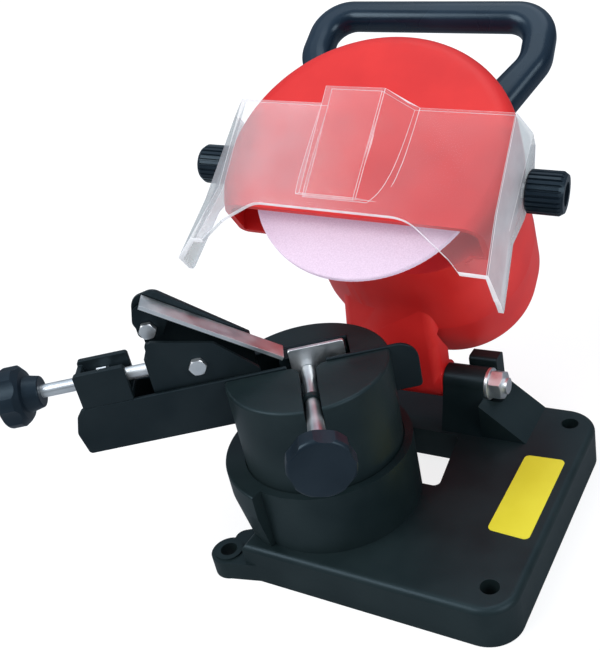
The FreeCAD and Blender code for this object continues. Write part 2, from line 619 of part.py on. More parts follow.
def adjust_block():
    """Two upright walls on the rail's end that hold the adjusting nut between them."""
    near = slab([(BLOCK_LEFT, RAIL_TOP, 0), (BLOCK_RIGHT, RAIL_TOP, 0),
                 (BLOCK_RIGHT, BLOCK_TOP, 1.5), (BLOCK_LEFT, BLOCK_TOP, 1.5)],
                RAIL_NEAR, RAIL_NEAR + BLOCK_WALL_T, "y")
    far_start = RAIL_NEAR + BLOCK_WALL_T + BLOCK_GAP
    far = near.translated(vec(0, far_start - RAIL_NEAR, 0))
    floor = block(BLOCK_LEFT, BLOCK_RIGHT, RAIL_NEAR, far_start + BLOCK_WALL_T,
                  RAIL_TOP, ADJUST_Z - M6_AF / math.sqrt(3) - 0.2)
    plate = block(BLOCK_LEFT, BLOCK_LEFT + 2.5, RAIL_NEAR, far_start + BLOCK_WALL_T,
                  RAIL_TOP, BLOCK_TOP - 2)
    body = near.fuse(far).fuse(floor).fuse(plate)
    hole = rod(vec(BLOCK_LEFT - 1, ADJUST_Y, ADJUST_Z), X_AXIS, M6_R + RUNNING, 10)
    return body.cut(hole).removeSplitter()


def adjust_nut():
    at = vec(BLOCK_LEFT + 9, ADJUST_Y, ADJUST_Z)
    return hexagon(at, X_AXIS, M6_AF, M6_NUT_H, M6_R + RUNNING)


def adjust_screw():
    start = ADJUST_KNOB_BACK - KNOB_HUB_H
    tab = CARRIAGE_LEFT
    shank = rod(vec(start, ADJUST_Y, ADJUST_Z), X_AXIS, M6_R, tab - FREE - start)
    tip = rod(vec(tab - FREE, ADJUST_Y, ADJUST_Z), X_AXIS, M4_R, CARRIAGE_T + 2 * FREE + 2.0)
    clip = rod(vec(tab + CARRIAGE_T + FREE, ADJUST_Y, ADJUST_Z), X_AXIS, M4_R + 1.6, 1.0)
    return shank.fuse(tip).fuse(clip)


def adjust_knob():
    knob = mushroom_knob(vec(ADJUST_KNOB_BACK, ADJUST_Y, ADJUST_Z), -X_AXIS)
    return knob.cut(rod(vec(ADJUST_KNOB_BACK - KNOB_HUB_H, ADJUST_Y, ADJUST_Z), X_AXIS, M6_R,
                        KNOB_HUB_H + 1))


CARRIAGE_NEAR = RAIL_NEAR + RAIL_T + FREE
CARRIAGE_FAR = RAIL_FAR - RAIL_T - FREE
CARRIAGE_BOTTOM = RAIL_BOTTOM + RAIL_T + FREE


def stop_carriage():
    """A folded channel that slides in the rail: a low near cheek and a tall far one."""
    left, right, low = CARRIAGE_LEFT, CARRIAGE_RIGHT, CARRIAGE_BOTTOM
    pivot_u, pivot_z = PAWL_PIVOT
    tie_u, tie_z = TIE_BOLT
    near = slab([(left, low, 0), (right, low, 0), (right + 2, RAIL_TOP + 1, 2),
                 (tie_u + CHEEK_EDGE, tie_z + CHEEK_EDGE, 3), (left + 2, pivot_z - 1, 2)],
                CARRIAGE_NEAR, CARRIAGE_NEAR + CARRIAGE_T, "y")
    far = slab([(left, low, 0), (right, low, 0), (right, tie_z + 4, 1),
                (pivot_u + PAWL_BACK_R, pivot_z + CHEEK_RISE, 6),
                (pivot_u - 3.5, pivot_z + CHEEK_RISE - 2, 6),
                (pivot_u - PAWL_BACK_R, pivot_z + 3, 4), (left, pivot_z - 5, 3)],
               CARRIAGE_FAR - CARRIAGE_T, CARRIAGE_FAR, "y")
    floor = block(left, right, CARRIAGE_NEAR, CARRIAGE_FAR, low, low + CARRIAGE_T)
    tab = block(left, left + CARRIAGE_T, CARRIAGE_NEAR, CARRIAGE_FAR, low,
                ADJUST_Z + M6_AF - 2)
    body = near.fuse(far).fuse(floor).fuse(tab)
    body = body.cut(rod(vec(left - 1, ADJUST_Y, ADJUST_Z), X_AXIS, M4_R + RUNNING, CARRIAGE_T + 2))
    for u, z in (PAWL_PIVOT, TIE_BOLT):
        body = body.cut(rod(vec(u, CARRIAGE_NEAR - 1, z), Y_AXIS, M4_R + RUNNING, RAIL_W))
    return body.removeSplitter()


PAWL_LEAF_NEAR = CARRIAGE_FAR - CARRIAGE_T - PAWL_FREE - PAWL_T


def chain_stop():
    """The pawl: a lug on the pivot bolt that narrows to a web under a flange with a blunt tip."""
    u, z = PAWL_PIVOT
    leaf = slab([(u - 5, z - 4, 3), (u + 5, z - 5, 3), (u + 10, z + 3, 3),
                 (PAWL_TIP_U, PAWL_TIP_Z, 0), (PAWL_TIP_U, PAWL_TIP_Z + 3, 0),
                 (u + 4, z + 14, 4), (u - 5, z + 10, 4)],
                PAWL_LEAF_NEAR, PAWL_LEAF_NEAR + PAWL_T, "y")
    flange = slab([(u + 0.5, z + 14.4, 0), (PAWL_TIP_U - 0.4, PAWL_TIP_Z + 1.2, 0),
                   (PAWL_TIP_U + 0.6, PAWL_TIP_Z + 2.6, 0), (u + 1.5, z + 16, 0)],
                  PAWL_LEAF_NEAR + PAWL_T - PAWL_W, PAWL_LEAF_NEAR + PAWL_T, "y")
    body = leaf.fuse(flange)
    return body.cut(rod(vec(u, 0, z), Y_AXIS, M4_R + RUNNING, 20)).removeSplitter()


def pivot_hardware():
    """Pivot bolt with its nut, then the tie bolt with its nut, as (bolts, nuts)."""
    bolts = []
    nuts = []
    for (u, z), near in ((PAWL_PIVOT, PAWL_LEAF_NEAR - FREE), (TIE_BOLT, CARRIAGE_NEAR)):
        shank = rod(vec(u, near, z), Y_AXIS, M4_R, CARRIAGE_FAR + M4_NUT_H + 1 - near)
        bolts.append(shank.fuse(hexagon(vec(u, near, z), -Y_AXIS, M4_AF, 2.8)))
        nuts.append(hexagon(vec(u, CARRIAGE_FAR, z), Y_AXIS, M4_AF, M4_NUT_H, M4_R))
    return group(bolts), group(nuts)


def swivel_lock():
    """The lock knob under the drum, and the stud it turns on, fixed in the drum's pivot."""
    knob = spun([(0, 0, 0), (LOCK_KNOB_R, 0, 3), (LOCK_KNOB_R, LOCK_KNOB_H * 0.6, 2),
                 (7, LOCK_KNOB_H, 0), (0, LOCK_KNOB_H, 0)], vec(0, 0, LOCK_KNOB_Z), Z_AXIS)
    for i in range(6):
        turn = math.radians(60 * i)
        reach = LOCK_KNOB_R + 3
        knob = knob.cut(rod(vec(reach * math.cos(turn), reach * math.sin(turn), 0),
                            Z_AXIS, 5, LOCK_KNOB_Z + LOCK_KNOB_H))
    top = LOCK_KNOB_Z + LOCK_KNOB_H
    stud = rod(vec(0, 0, LOCK_KNOB_Z + 1), Z_AXIS, M8_R, top + 28 - LOCK_KNOB_Z - 1)
    bore = rod(vec(0, 0, 0), Z_AXIS, M8_R + RUNNING, top + 1)
    return knob.cut(bore), stud


def save_vise():
    save("swivel_drum", drum(), VISE_FRAME)
    save("chain_rail", chain_rail(), VISE_FRAME)
    save("fixed_jaw", fixed_jaw(), VISE_FRAME)
    save("clamp_jaw", clamp_jaw(), VISE_FRAME)
    save("clamp_screw", clamp_screw(), VISE_FRAME)
    save("clamp_knob", clamp_knob(), VISE_FRAME)
    save("adjust_block", adjust_block(), VISE_FRAME)
    save("adjust_nut", adjust_nut(), VISE_FRAME)
    save("adjust_screw", adjust_screw(), VISE_FRAME)
    save("adjust_knob", adjust_knob(), VISE_FRAME)
    save("stop_carriage", stop_carriage(), VISE_FRAME)
    save("chain_stop", chain_stop(), VISE_FRAME)
    bolts, nuts = pivot_hardware()
    save("stop_bolts", bolts, VISE_FRAME)
    save("stop_nuts", nuts, VISE_FRAME)
    knob, stud = swivel_lock()
    save("lock_knob", knob, VISE_FRAME)
    save("lock_stud", stud, VISE_FRAME)


# ---------------------------------------------------------------- head

def in_head(shape, frame):
    """A shape made in another frame, as seen from the head frame."""
    moved = shape.copy()
    moved.Placement = HEAD_FRAME.inverse().multiply(frame).multiply(shape.Placement)
    return moved


def chord_cut(shape):
    """Takes away what lies below the guard's chord."""
    reach = GUARD_R + 10
    return shape.cut(block(-reach, reach, -reach, GUARD_CHORD, GUARD_BACK - 1, GUARD_FRONT + 1))


def arm():
    """The hinge barrel and the waisted neck above it, in the hinge frame."""
    half = BARREL_W / 2
    barrel = rod(vec(-half, 0, 0), X_AXIS, BARREL_R, BARREL_W)
    sections = []
    for height, left, right, front, rear in ((0.0, -half, half, -BARREL_R, 7.0),
                                             (22.0, 3 - half, half, -BARREL_R, 8.0),
                                             (70.0, 14 - half, half + 4, -19.0, 12.0)):
        sections.append((height, [(left, front, 5), (right, front, 5), (right, rear, 5),
                                  (left, rear, 5)]))
    lug = slab([(DEPTH_X - 8, DEPTH_Y - 7, 7), (DEPTH_X + 8, DEPTH_Y - 7, 7),
                (DEPTH_X + 8, 0, 0), (DEPTH_X - 8, 0, 0)], DEPTH_LUG_LOW, DEPTH_LUG_HIGH)
    return barrel.fuse(lofted(sections)).fuse(lug)


def hinge_bore():
    return rod(vec(-BARREL_W, 0, 0), X_AXIS, M8_R + RUNNING, BARREL_W * 2)


def visor_boss(side):
    """The pad on the guard's rim that the visor's cheek turns on."""
    inner = GUARD_R - VISOR_BOSS_DEEP
    length = VISOR_CHEEK_X - VISOR_T - FREE - inner
    return rod(vec(side * inner, VISOR_PIVOT_Y, VISOR_PIVOT_Z), X_AXIS * side, VISOR_BOSS_R, length)


def motor_outline(inset):
    """The oblong outline of the motor housing, moved in by inset."""
    left, right = MOTOR_LEFT + inset, MOTOR_RIGHT - inset
    low, high = MOTOR_LOW + inset, MOTOR_HIGH - inset
    r = MOTOR_CORNER_R - inset
    return [(left, low, r), (right, low, r), (right, high, r), (left, high, r)]


def column_spots():
    """Centres of the four screw columns, in the corners of the motor housing."""
    reach = (MOTOR_CORNER_R - COLUMN_IN) * math.sqrt(0.5)
    spots = []
    for side_x, edge_x in ((-1, MOTOR_LEFT), (1, MOTOR_RIGHT)):
        for side_y, edge_y in ((-1, MOTOR_LOW), (1, MOTOR_HIGH)):
            spots.append((edge_x - side_x * MOTOR_CORNER_R + side_x * reach,
                          edge_y - side_y * MOTOR_CORNER_R + side_y * reach))
    return spots


def guard_screw_spots():
    return [(GUARD_SCREW_RADIUS * math.cos(math.radians(a)),
             GUARD_SCREW_RADIUS * math.sin(math.radians(a))) for a in GUARD_SCREW_ANGLES]


def handle_screw_spots():
    """Both screws' axes, to the nearest tenth."""
    turn = math.radians(HANDLE_SCREW_ANGLE)
    reach = GUARD_R - HANDLE_SCREW_IN
    x, y = round(reach * math.cos(turn), 1), round(reach * math.sin(turn), 1)
    return [(-x, y), (x, y)]


def housing_walls():
    """The arm, the motor's front half and the guard's dish, hollowed out."""
    dish = spun([(0, GUARD_BACK, 0), (GUARD_R, GUARD_BACK, 4), (GUARD_R, 0, 0), (0, 0, 0)])
    well = rod(vec(0, 0, GUARD_BACK + GUARD_T), Z_AXIS, GUARD_R - GUARD_T, 60)
    can = lofted([(MOTOR_SEAM, motor_outline(0)),
                  (GUARD_BACK + GUARD_T, motor_outline(MOTOR_FRONT_IN))])
    cavity = lofted([(MOTOR_SEAM - 1, motor_outline(MOTOR_T)),
                     (GUARD_BACK - MOTOR_T, motor_outline(MOTOR_FRONT_IN + MOTOR_T))])
    behind = lofted([(MOTOR_END - 2, motor_outline(-3)), (MOTOR_SEAM, motor_outline(-3))])
    body = in_head(arm(), HINGE_FRAME).cut(behind).fuse(can)
    return body.fuse(chord_cut(dish)).cut(well).cut(cavity)


def head_housing():
    """Rear half of the wheel guard, front half of the motor housing and the arm, in one."""
    body = housing_walls()
    seat_z = GUARD_BACK - BEARING_W
    tube_back = ARMATURE_BACK + 6
    pads = [rod(vec(0, 0, seat_z), Z_AXIS, BEARING_R + 3, BEARING_W),
            ring(vec(0, 0, tube_back), Z_AXIS, STATOR_R + 2.5, STATOR_R + RUNNING,
                 GUARD_BACK - tube_back), visor_boss(-1), visor_boss(1)]
    holes = [rod(vec(0, 0, seat_z - 1), Z_AXIS, BEARING_R, BEARING_W + 1),
             rod(vec(0, 0, seat_z - 1), Z_AXIS, SHAFT_R + 1.5, 30)]
    for side in (-1, 1):
        inner = side * (GUARD_R - VISOR_BOSS_DEEP - 1)
        holes.append(rod(vec(inner, VISOR_PIVOT_Y, VISOR_PIVOT_Z), X_AXIS * side,
                         VISOR_STUD_R, VISOR_CHEEK_X))
    for x, y in column_spots():
        pads.append(rod(vec(x, y, MOTOR_SEAM), Z_AXIS, COLUMN_R, GUARD_BACK - MOTOR_SEAM))
        holes.append(rod(vec(x, y, MOTOR_SEAM - 1), Z_AXIS, M4_R, COLUMN_GRIP + 1))
    for x, y in guard_screw_spots():
        pads.append(rod(vec(x, y, GUARD_BACK), Z_AXIS, GUARD_POST_R, -GUARD_BACK))
        holes.append(rod(vec(x, y, GUARD_BACK - 1), Z_AXIS, M4_R, 2 - GUARD_BACK))
    for x, y in handle_screw_spots():
        pads.append(rod(vec(x, y, GUARD_BACK), Z_AXIS, HANDLE_BOSS_R, HANDLE_BOSS_TOP - GUARD_BACK))
        holes.append(rod(vec(x, y, GUARD_BACK - 1), Z_AXIS, HANDLE_SCREW_R,
                         HANDLE_BOSS_TOP - GUARD_BACK))
    for pad in pads:
        body = body.fuse(pad)
    holes.append(in_head(hinge_bore(), HINGE_FRAME))
    depth = vec(DEPTH_X, DEPTH_Y, DEPTH_LUG_LOW - 1)
    holes.append(in_head(rod(depth, Z_AXIS, M6_R + RUNNING, 20), HINGE_FRAME))
    for hole in holes:
        body = body.cut(hole)
    return body.removeSplitter()


def guard_cover():
    """The domed front of the wheel guard, with its screw posts inside."""
    outer = spun([(0, 0, 0), (GUARD_R, 0, 0), (GUARD_R, GUARD_FRONT, GUARD_EDGE_R),
                  (0, GUARD_FRONT, 0)])
    inner = spun([(0, -1, 0), (GUARD_R - GUARD_T, -1, 0),
                  (GUARD_R - GUARD_T, GUARD_FRONT - GUARD_T, GUARD_EDGE_R - GUARD_T),
                  (0, GUARD_FRONT - GUARD_T, 0)])
    body = chord_cut(outer.cut(inner))
    for side in (-1, 1):
        inner = side * (GUARD_R - VISOR_BOSS_DEEP)
        body = body.cut(rod(vec(inner, VISOR_PIVOT_Y, VISOR_PIVOT_Z), X_AXIS * side,
                            VISOR_BOSS_R + FREE, VISOR_CHEEK_X))
    for x, y in guard_screw_spots():
        body = body.fuse(rod(vec(x, y, 0), Z_AXIS, GUARD_POST_R, GUARD_FRONT - GUARD_T))
        body = body.cut(rod(vec(x, y, -1), Z_AXIS, M4_R, 8))
    return body


def motor_cover():
    """The rear half of the motor housing, with the rear bearing's seat and vents."""
    outer = lofted([(MOTOR_END, motor_outline(1)), (MOTOR_SEAM, motor_outline(0))])
    rim = [e for e in outer.Edges if e.BoundBox.ZMax < MOTOR_END + 0.01]
    outer = outer.makeFillet(MOTOR_EDGE_R, rim)
    floor = MOTOR_END + MOTOR_T
    inner = lofted([(floor, motor_outline(1 + MOTOR_T)), (MOTOR_SEAM + 1, motor_outline(MOTOR_T))])
    body = outer.cut(inner)
    seat_top = REAR_BEARING_Z + BEARING_W
    body = body.fuse(ring(vec(0, 0, floor - 1), Z_AXIS, BEARING_R + 3, BEARING_R,
                          seat_top - floor + 1))
    body = body.fuse(ring(vec(0, 0, floor - 1), Z_AXIS, BEARING_R + 1, BEARING_BORE_R + 2,
                          REAR_BEARING_Z - floor + 1))
    for x, y in column_spots():
        body = body.fuse(rod(vec(x, y, floor - 1), Z_AXIS, COLUMN_R, MOTOR_SEAM - floor + 1))
        body = body.cut(rod(vec(x, y, MOTOR_END - 1), Z_AXIS, M4_R + RUNNING, 60))
    for i in range(VENTS):
        x = VENT_PITCH * (i - (VENTS - 1) / 2)
        for low, high in ((-32.0, -18.0), (18.0, 32.0)):
            body = body.cut(slab([(x - 1.6, low, 1.5), (x + 1.6, low, 1.5), (x + 1.6, high, 1.5),
                                  (x - 1.6, high, 1.5)], MOTOR_END - 1, floor + 1))
    body = body.cut(rod(GLAND_AT - Z_AXIS, Z_AXIS, GLAND_R, MOTOR_T + 2))
    return body.cut(switch_well())


def cord_gland():
    """A flanged rubber bush in the cover's rear wall, where a mains lead would enter."""
    r = GLAND_R - RUNNING
    return spun([(2.5, -8.0, 0.5), (r + 1, -8.0, 1), (r + 2, 0, 0), (r, 0, 0), (r, MOTOR_T, 0),
                 (r + 1.2, MOTOR_T, 0), (r + 1.2, MOTOR_T + 1.5, 0.5), (2.5, MOTOR_T + 1.5, 0)], GLAND_AT)


VENTS, VENT_PITCH = 5, 6.0
GLAND_AT = vec(-28.0, -6.0, MOTOR_END)
GLAND_R = 5.0
SWITCH_AT = vec(44.0, 2.0, MOTOR_END)
SWITCH_W, SWITCH_H, SWITCH_DEPTH = 13.0, 19.0, 12.0
ROCKER_PIVOT_IN = 1.0   # how far inside the cover's wall the rocker turns


def centred_block(centre, wide, high, z0, z1):
    return block(centre.x - wide / 2, centre.x + wide / 2, centre.y - high / 2,
                 centre.y + high / 2, centre.z + z0, centre.z + z1)


def switch_well():
    return centred_block(SWITCH_AT, SWITCH_W, SWITCH_H, -1, MOTOR_T + 1)


def switch_body():
    """A snap-in switch: a flange outside the cover and a box inside it."""
    flange = centred_block(SWITCH_AT, SWITCH_W + 2, SWITCH_H + 2, -1.5, 0)
    case = centred_block(SWITCH_AT, SWITCH_W, SWITCH_H, 0, SWITCH_DEPTH)
    well = centred_block(SWITCH_AT, SWITCH_W - 3, SWITCH_H - 4, -2, 6)
    return flange.fuse(case).cut(well)


def switch_rocker():
    """The rocker, a shallow vee with its ends rounded about the line that it turns on."""
    half = (SWITCH_H - 4) / 2 - FREE
    wide = (SWITCH_W - 3) / 2 - FREE
    x, y, z = SWITCH_AT
    vee = slab([(y - half, z + 1.0, 0.5), (y - half, z - 3.2, 1), (y, z - 1.4, 0),
                (y + half, z - 1.0, 1), (y + half, z + 1.0, 0.5), (y, z + 3.6, 1)],
               x - wide, x + wide, "x")
    pivot = vec(x - wide, y, z + ROCKER_PIVOT_IN)
    return vee.common(rod(pivot, X_AXIS, half, 2 * wide))


def handle():
    """The carrying handle: a bail whose legs turn in to flat feet behind the guard."""
    w, top = HANDLE_HALF_W, HANDLE_TOP
    foot_x, foot_y = handle_screw_spots()[1]
    knee_y = foot_y + 29.5
    outer = [(foot_x + 4, foot_y - 12.5, 4), (w + 2, knee_y, 20), (w, top, 21)]
    inner = [(w - HANDLE_LEG, top - HANDLE_BAR, 9), (w - HANDLE_LEG + 1, knee_y + 2, 12),
             (foot_x - 10, foot_y + 1, 4)]
    corners = ([(-x, y, r) for x, y, r in outer] + [(x, y, r) for x, y, r in reversed(outer)] +
               [(x, y, r) for x, y, r in reversed(inner)] + [(-x, y, r) for x, y, r in inner])
    bail = slab(corners, GUARD_BACK - HANDLE_T, GUARD_BACK)
    edges = [e for e in bail.Edges if e.BoundBox.YMin > foot_y + 4
             and e.BoundBox.ZMax - e.BoundBox.ZMin < 0.01]
    bail = bail.makeFillet(HANDLE_EDGE_R, edges)
    bail = bail.cut(lofted([(MOTOR_SEAM, motor_outline(-FREE)),
                            (GUARD_BACK + GUARD_T, motor_outline(MOTOR_FRONT_IN - FREE))]))
    for x, y in handle_screw_spots():
        bail = bail.cut(rod(vec(x, y, GUARD_BACK - HANDLE_T - 1), Z_AXIS,
                            HANDLE_SCREW_R + RUNNING, HANDLE_T + 2))
    return bail


def visor_section(front_x, spread, inset, back):
    """The visor's outline seen along the head's Y: panel, slanted sides and cheeks."""
    left, right = front_x
    cheek = VISOR_CHEEK_X + spread - inset
    lean = inset * 0.5
    return [(-cheek, back), (-cheek, VISOR_SHOULDER - lean), (left + lean, VISOR_FRONT - inset),
            (right - lean, VISOR_FRONT - inset), (cheek, VISOR_SHOULDER - lean), (cheek, back)]


def visor_block(inset, back, past):
    """The visor as a solid block; inset and past make the block that hollows it out."""
    wires = []
    for y, front_x, spread in ((VISOR_TOP + past, VISOR_TOP_X, 0.0), (VISOR_FOLD, VISOR_FOLD_X, 0.0),
                               (VISOR_TIP - past, VISOR_TIP_X, VISOR_FLARE)):
        points = [vec(x, y, z) for x, z in visor_section(front_x, spread, inset, back)]
        wires.append(Part.makePolygon(points + points[:1]))
    return Part.makeLoft(wires, True, True)


def visor_box(inset):
    """The raised window's wedge, smaller by inset for its inside."""
    wires = []
    for y, xs, lift in ((VISOR_TOP, (-21, -14, 13, 26), VISOR_BOX_RISE),
                        (VISOR_FOLD, (-21, -17, 9, 27), 1.0)):
        foot = VISOR_FRONT - 1 - inset * 1.5
        crest = VISOR_FRONT + lift - inset
        if inset:
            y = y + 1 if y > 0 else y
        a, b, c, d = xs
        points = [vec(a + inset, y, foot), vec(b + inset, y, crest), vec(c - inset, y, crest),
                  vec(d - inset, y, foot)]
        wires.append(Part.makePolygon(points + points[:1]))
    return Part.makeLoft(wires, True, True)


def visor_arch():
    """What is cut from the front below the fold, so that the wheel reaches the chain."""
    left, right = VISOR_TIP_X
    return slab([(-38, VISOR_LIP, 10), (32, VISOR_LIP, 22), (54, VISOR_LIP - 16, 22),
                 (right - 7, VISOR_TIP - 1, 0), (right - 7, VISOR_TIP - 9, 0),
                 (left + 4, VISOR_TIP - 9, 0), (left + 4, VISOR_TIP - 1, 0),
                 (-50, VISOR_LIP - 10, 10)], VISOR_BACK - 2, VISOR_FRONT + 2)


def visor_side():
    """The cheeks' outline seen from the side."""
    return slab([(VISOR_TOP + 1, VISOR_FRONT + 30, 0), (VISOR_TOP + 1, 2.0, 4),
                 (VISOR_PIVOT_Y + 10, VISOR_BACK, 6), (VISOR_PIVOT_Y - 9, VISOR_BACK, 8),
                 (VISOR_FOLD, -2.0, 6), (VISOR_TIP - 4, -2.0, 5), (VISOR_TIP + 5, VISOR_FRONT + 2, 0),
                 (VISOR_TIP + 5, VISOR_FRONT + 30, 0)], -VISOR_CHEEK_X - 9, VISOR_CHEEK_X + 9, "x")


def visor():
    """A clear folded sheet: front panel with a raised window, cheeks, and an arched lower lip."""
    body = visor_block(0, VISOR_BACK - 2, 0).fuse(visor_box(0))
    body = body.cut(visor_block(VISOR_T, VISOR_BACK - 4, 2)).cut(visor_box(VISOR_T))
    body = body.cut(visor_arch()).common(visor_side())
    body = body.cut(rod(vec(-100, VISOR_PIVOT_Y, VISOR_PIVOT_Z), X_AXIS,
                        VISOR_STUD_R + RUNNING, 200))
    return body.removeSplitter()


def visor_studs():
    start = GUARD_R - VISOR_BOSS_DEEP + 0.5
    reach = VISOR_CHEEK_X + VISOR_KNOB_L * 0.6 - start
    return group([rod(vec(side * start, VISOR_PIVOT_Y, VISOR_PIVOT_Z), X_AXIS * side,
                      VISOR_STUD_R, reach) for side in (-1, 1)])


def visor_knob(side):
    back = vec(side * (VISOR_CHEEK_X + FREE), VISOR_PIVOT_Y, VISOR_PIVOT_Z)
    bore = rod(back - X_AXIS * side, X_AXIS * side, VISOR_STUD_R + RUNNING, VISOR_KNOB_L * 0.6 + 1.5)
    return ribbed_knob(back, X_AXIS * side).cut(bore)


# ---------------------------------------------------------------- spindle

def grinding_wheel():
    half = WHEEL_T / 2
    return spun([(WHEEL_BORE_R, -half, 0), (WHEEL_R, -half, 0.8), (WHEEL_R, half, 0.8),
                 (WHEEL_BORE_R, half, 0)])


def flange(side):
    """A wheel flange, relieved so that only its rim presses on the wheel."""
    face = WHEEL_T / 2
    profile = [(SHAFT_R, face, 0), (FLANGE_R, face, 0), (FLANGE_R, face + FLANGE_T, 1),
               (SHAFT_R, face + FLANGE_T, 0)]
    body = spun(profile)
    body = body.cut(ring(vec(0, 0, face - 1), Z_AXIS, FLANGE_R - 4, SHAFT_R - 1, 1.4))
    if side < 0:
        spigot = ring(vec(0, 0, 0.2 - WHEEL_T / 2), Z_AXIS, WHEEL_BORE_R, SHAFT_R, WHEEL_T)
        body = body.fuse(spigot.translated(vec(0, 0, WHEEL_T - 0.2)))
        body = body.mirror(vec(0, 0, 0), Z_AXIS)
    return body


def motor_shaft():
    """The stepped shaft: wheel seat and thread in front, bearing seats at both ends."""
    front_seat = GUARD_BACK - BEARING_W
    tail = REAR_BEARING_Z - 2
    inner_flange_back = -WHEEL_T / 2 - FLANGE_T
    steps = [(0, tail, 0), (BEARING_BORE_R, tail, 0.5), (BEARING_BORE_R, REAR_BEARING_Z + BEARING_W, 0),
             (SHAFT_R, REAR_BEARING_Z + BEARING_W, 0), (SHAFT_R, front_seat - 0.5, 0),
             (BEARING_BORE_R, front_seat - 0.5, 0), (BEARING_BORE_R, front_seat + BEARING_W, 0),
             (SHAFT_R + 1.5 - FREE, front_seat + BEARING_W, 0), (SHAFT_R + 1.5 - FREE, inner_flange_back, 0),
             (SHAFT_R, inner_flange_back, 0),
             (SHAFT_R, WHEEL_T / 2 + FLANGE_T + ARBOR_NUT_H + 0.5, 0.5),
             (0, WHEEL_T / 2 + FLANGE_T + ARBOR_NUT_H + 0.5, 0)]
    return spun(steps)


def bearing(z):
    inner_r = BEARING_BORE_R + RUNNING
    return spun([(inner_r, z, 0.3), (BEARING_R, z, 0.3), (BEARING_R, z + BEARING_W, 0.3),
                 (inner_r, z + BEARING_W, 0.3)])


ARMATURE_BACK, ARMATURE_FRONT = -68.0, -36.0
COMMUTATOR_BACK = -77.5
COMMUTATOR_R = 9.0


def armature():
    core = ring(vec(0, 0, ARMATURE_BACK), Z_AXIS, 13.5, SHAFT_R, ARMATURE_FRONT - ARMATURE_BACK)
    for i in range(10):
        turn = 2 * math.pi * i / 10
        core = core.cut(rod(vec(12.4 * math.cos(turn), 12.4 * math.sin(turn), ARMATURE_BACK - 1),
                            Z_AXIS, 1.7, ARMATURE_FRONT - ARMATURE_BACK + 2))
    return core


def commutator():
    return ring(vec(0, 0, COMMUTATOR_BACK), Z_AXIS, COMMUTATOR_R, SHAFT_R, ARMATURE_BACK - COMMUTATOR_BACK)


def cooling_fan():
    """A radial fan behind the front bearing."""
    back = ARMATURE_FRONT + 1.0
    hub = ring(vec(0, 0, back), Z_AXIS, 8.0, SHAFT_R, 8.0)
    disc = ring(vec(0, 0, back), Z_AXIS, 20.0, SHAFT_R + 1, 1.2)
    fan = hub.fuse(disc)
    for i in range(9):
        blade = block(7.0, 19.5, -0.6, 0.6, back + 0.6, back + 7.0)
        blade.rotate(vec(0, 0, 0), Z_AXIS, 40 * i)
        fan = fan.fuse(blade)
    return fan


def stator():
    """The field pack: a ring with two pole shoes."""
    length = ARMATURE_FRONT - ARMATURE_BACK
    pack = ring(vec(0, 0, ARMATURE_BACK), Z_AXIS, STATOR_R, STATOR_R - 4.5, length)
    shoes = ring(vec(0, 0, ARMATURE_BACK), Z_AXIS, STATOR_R - 4, 14.3, length)
    shoes = shoes.common(block(-STATOR_R, STATOR_R, -11, 11, ARMATURE_BACK, ARMATURE_FRONT))
    return pack.fuse(shoes)


def brush_holders():
    """A ring on the back of the stator that carries both brush boxes."""
    body = ring(vec(0, 0, ARMATURE_BACK - 3), Z_AXIS, STATOR_R, 17.0, 3)
    for side in (-1, 1):
        low, high = sorted((side * (COMMUTATOR_R + FREE), side * 21.0))
        body = body.fuse(block(low, high, -3.5, 3.5, COMMUTATOR_BACK + 1.5, ARMATURE_BACK - 1))
    return body


def arbor_nut():
    return hexagon(vec(0, 0, WHEEL_T / 2 + FLANGE_T), Z_AXIS, ARBOR_NUT_AF, ARBOR_NUT_H, SHAFT_R)


def head_screws():
    """The guard's screws, the motor cover's screws and the handle's screws."""
    guard = [cap_screw(vec(x, y, GUARD_BACK), Z_AXIS, M4_R, M4_HEAD_R, M4_HEAD_H, 6 - GUARD_BACK)
             for x, y in guard_screw_spots()]
    cover_reach = MOTOR_SEAM - MOTOR_END + COLUMN_GRIP - 1
    cover = [cap_screw(vec(x, y, MOTOR_END), Z_AXIS, M4_R, M4_HEAD_R, M4_HEAD_H, cover_reach)
             for x, y in column_spots()]
    back = GUARD_BACK - HANDLE_T
    bar = [cap_screw(vec(x, y, back), Z_AXIS, HANDLE_SCREW_R, HANDLE_SCREW_HEAD_R, 3.0,
                     HANDLE_BOSS_TOP - 1 - back) for x, y in handle_screw_spots()]
    return group(guard), group(cover), group(bar)


def depth_stop():
    """A knurled screw through the arm's lug, and its lock nut on top of the lug."""
    foot = vec(DEPTH_X, DEPTH_Y, DEPTH_TIP)
    screw = rod(foot, Z_AXIS, M6_R, DEPTH_HEAD - DEPTH_TIP)
    screw = screw.fuse(spun([(0, 0, 0), (DEPTH_KNOB_R, 0, 0.8), (DEPTH_KNOB_R, 6.0, 0.8), (0, 6.0, 0)],
                            vec(DEPTH_X, DEPTH_Y, DEPTH_HEAD)))
    nut = hexagon(vec(DEPTH_X, DEPTH_Y, DEPTH_LUG_HIGH), Z_AXIS, M6_AF, M6_NUT_H, M6_R + RUNNING)
    return screw, nut


def return_spring():
    """The close-wound torsion spring on the hinge bolt that lifts the head."""
    pitch = SPRING_WIRE_R * 2 - 0.1
    turns = int((SPRING_ROOM - 1.0) / pitch)
    coil = None
    for i in range(turns):
        at = vec(LUG_LEFT_IN + 0.5 + SPRING_WIRE_R + i * pitch, HINGE_Y, HINGE_Z)
        turn = Part.makeTorus(SPRING_R, SPRING_WIRE_R, at, X_AXIS)
        coil = coil.fuse(turn) if coil else turn
    return coil


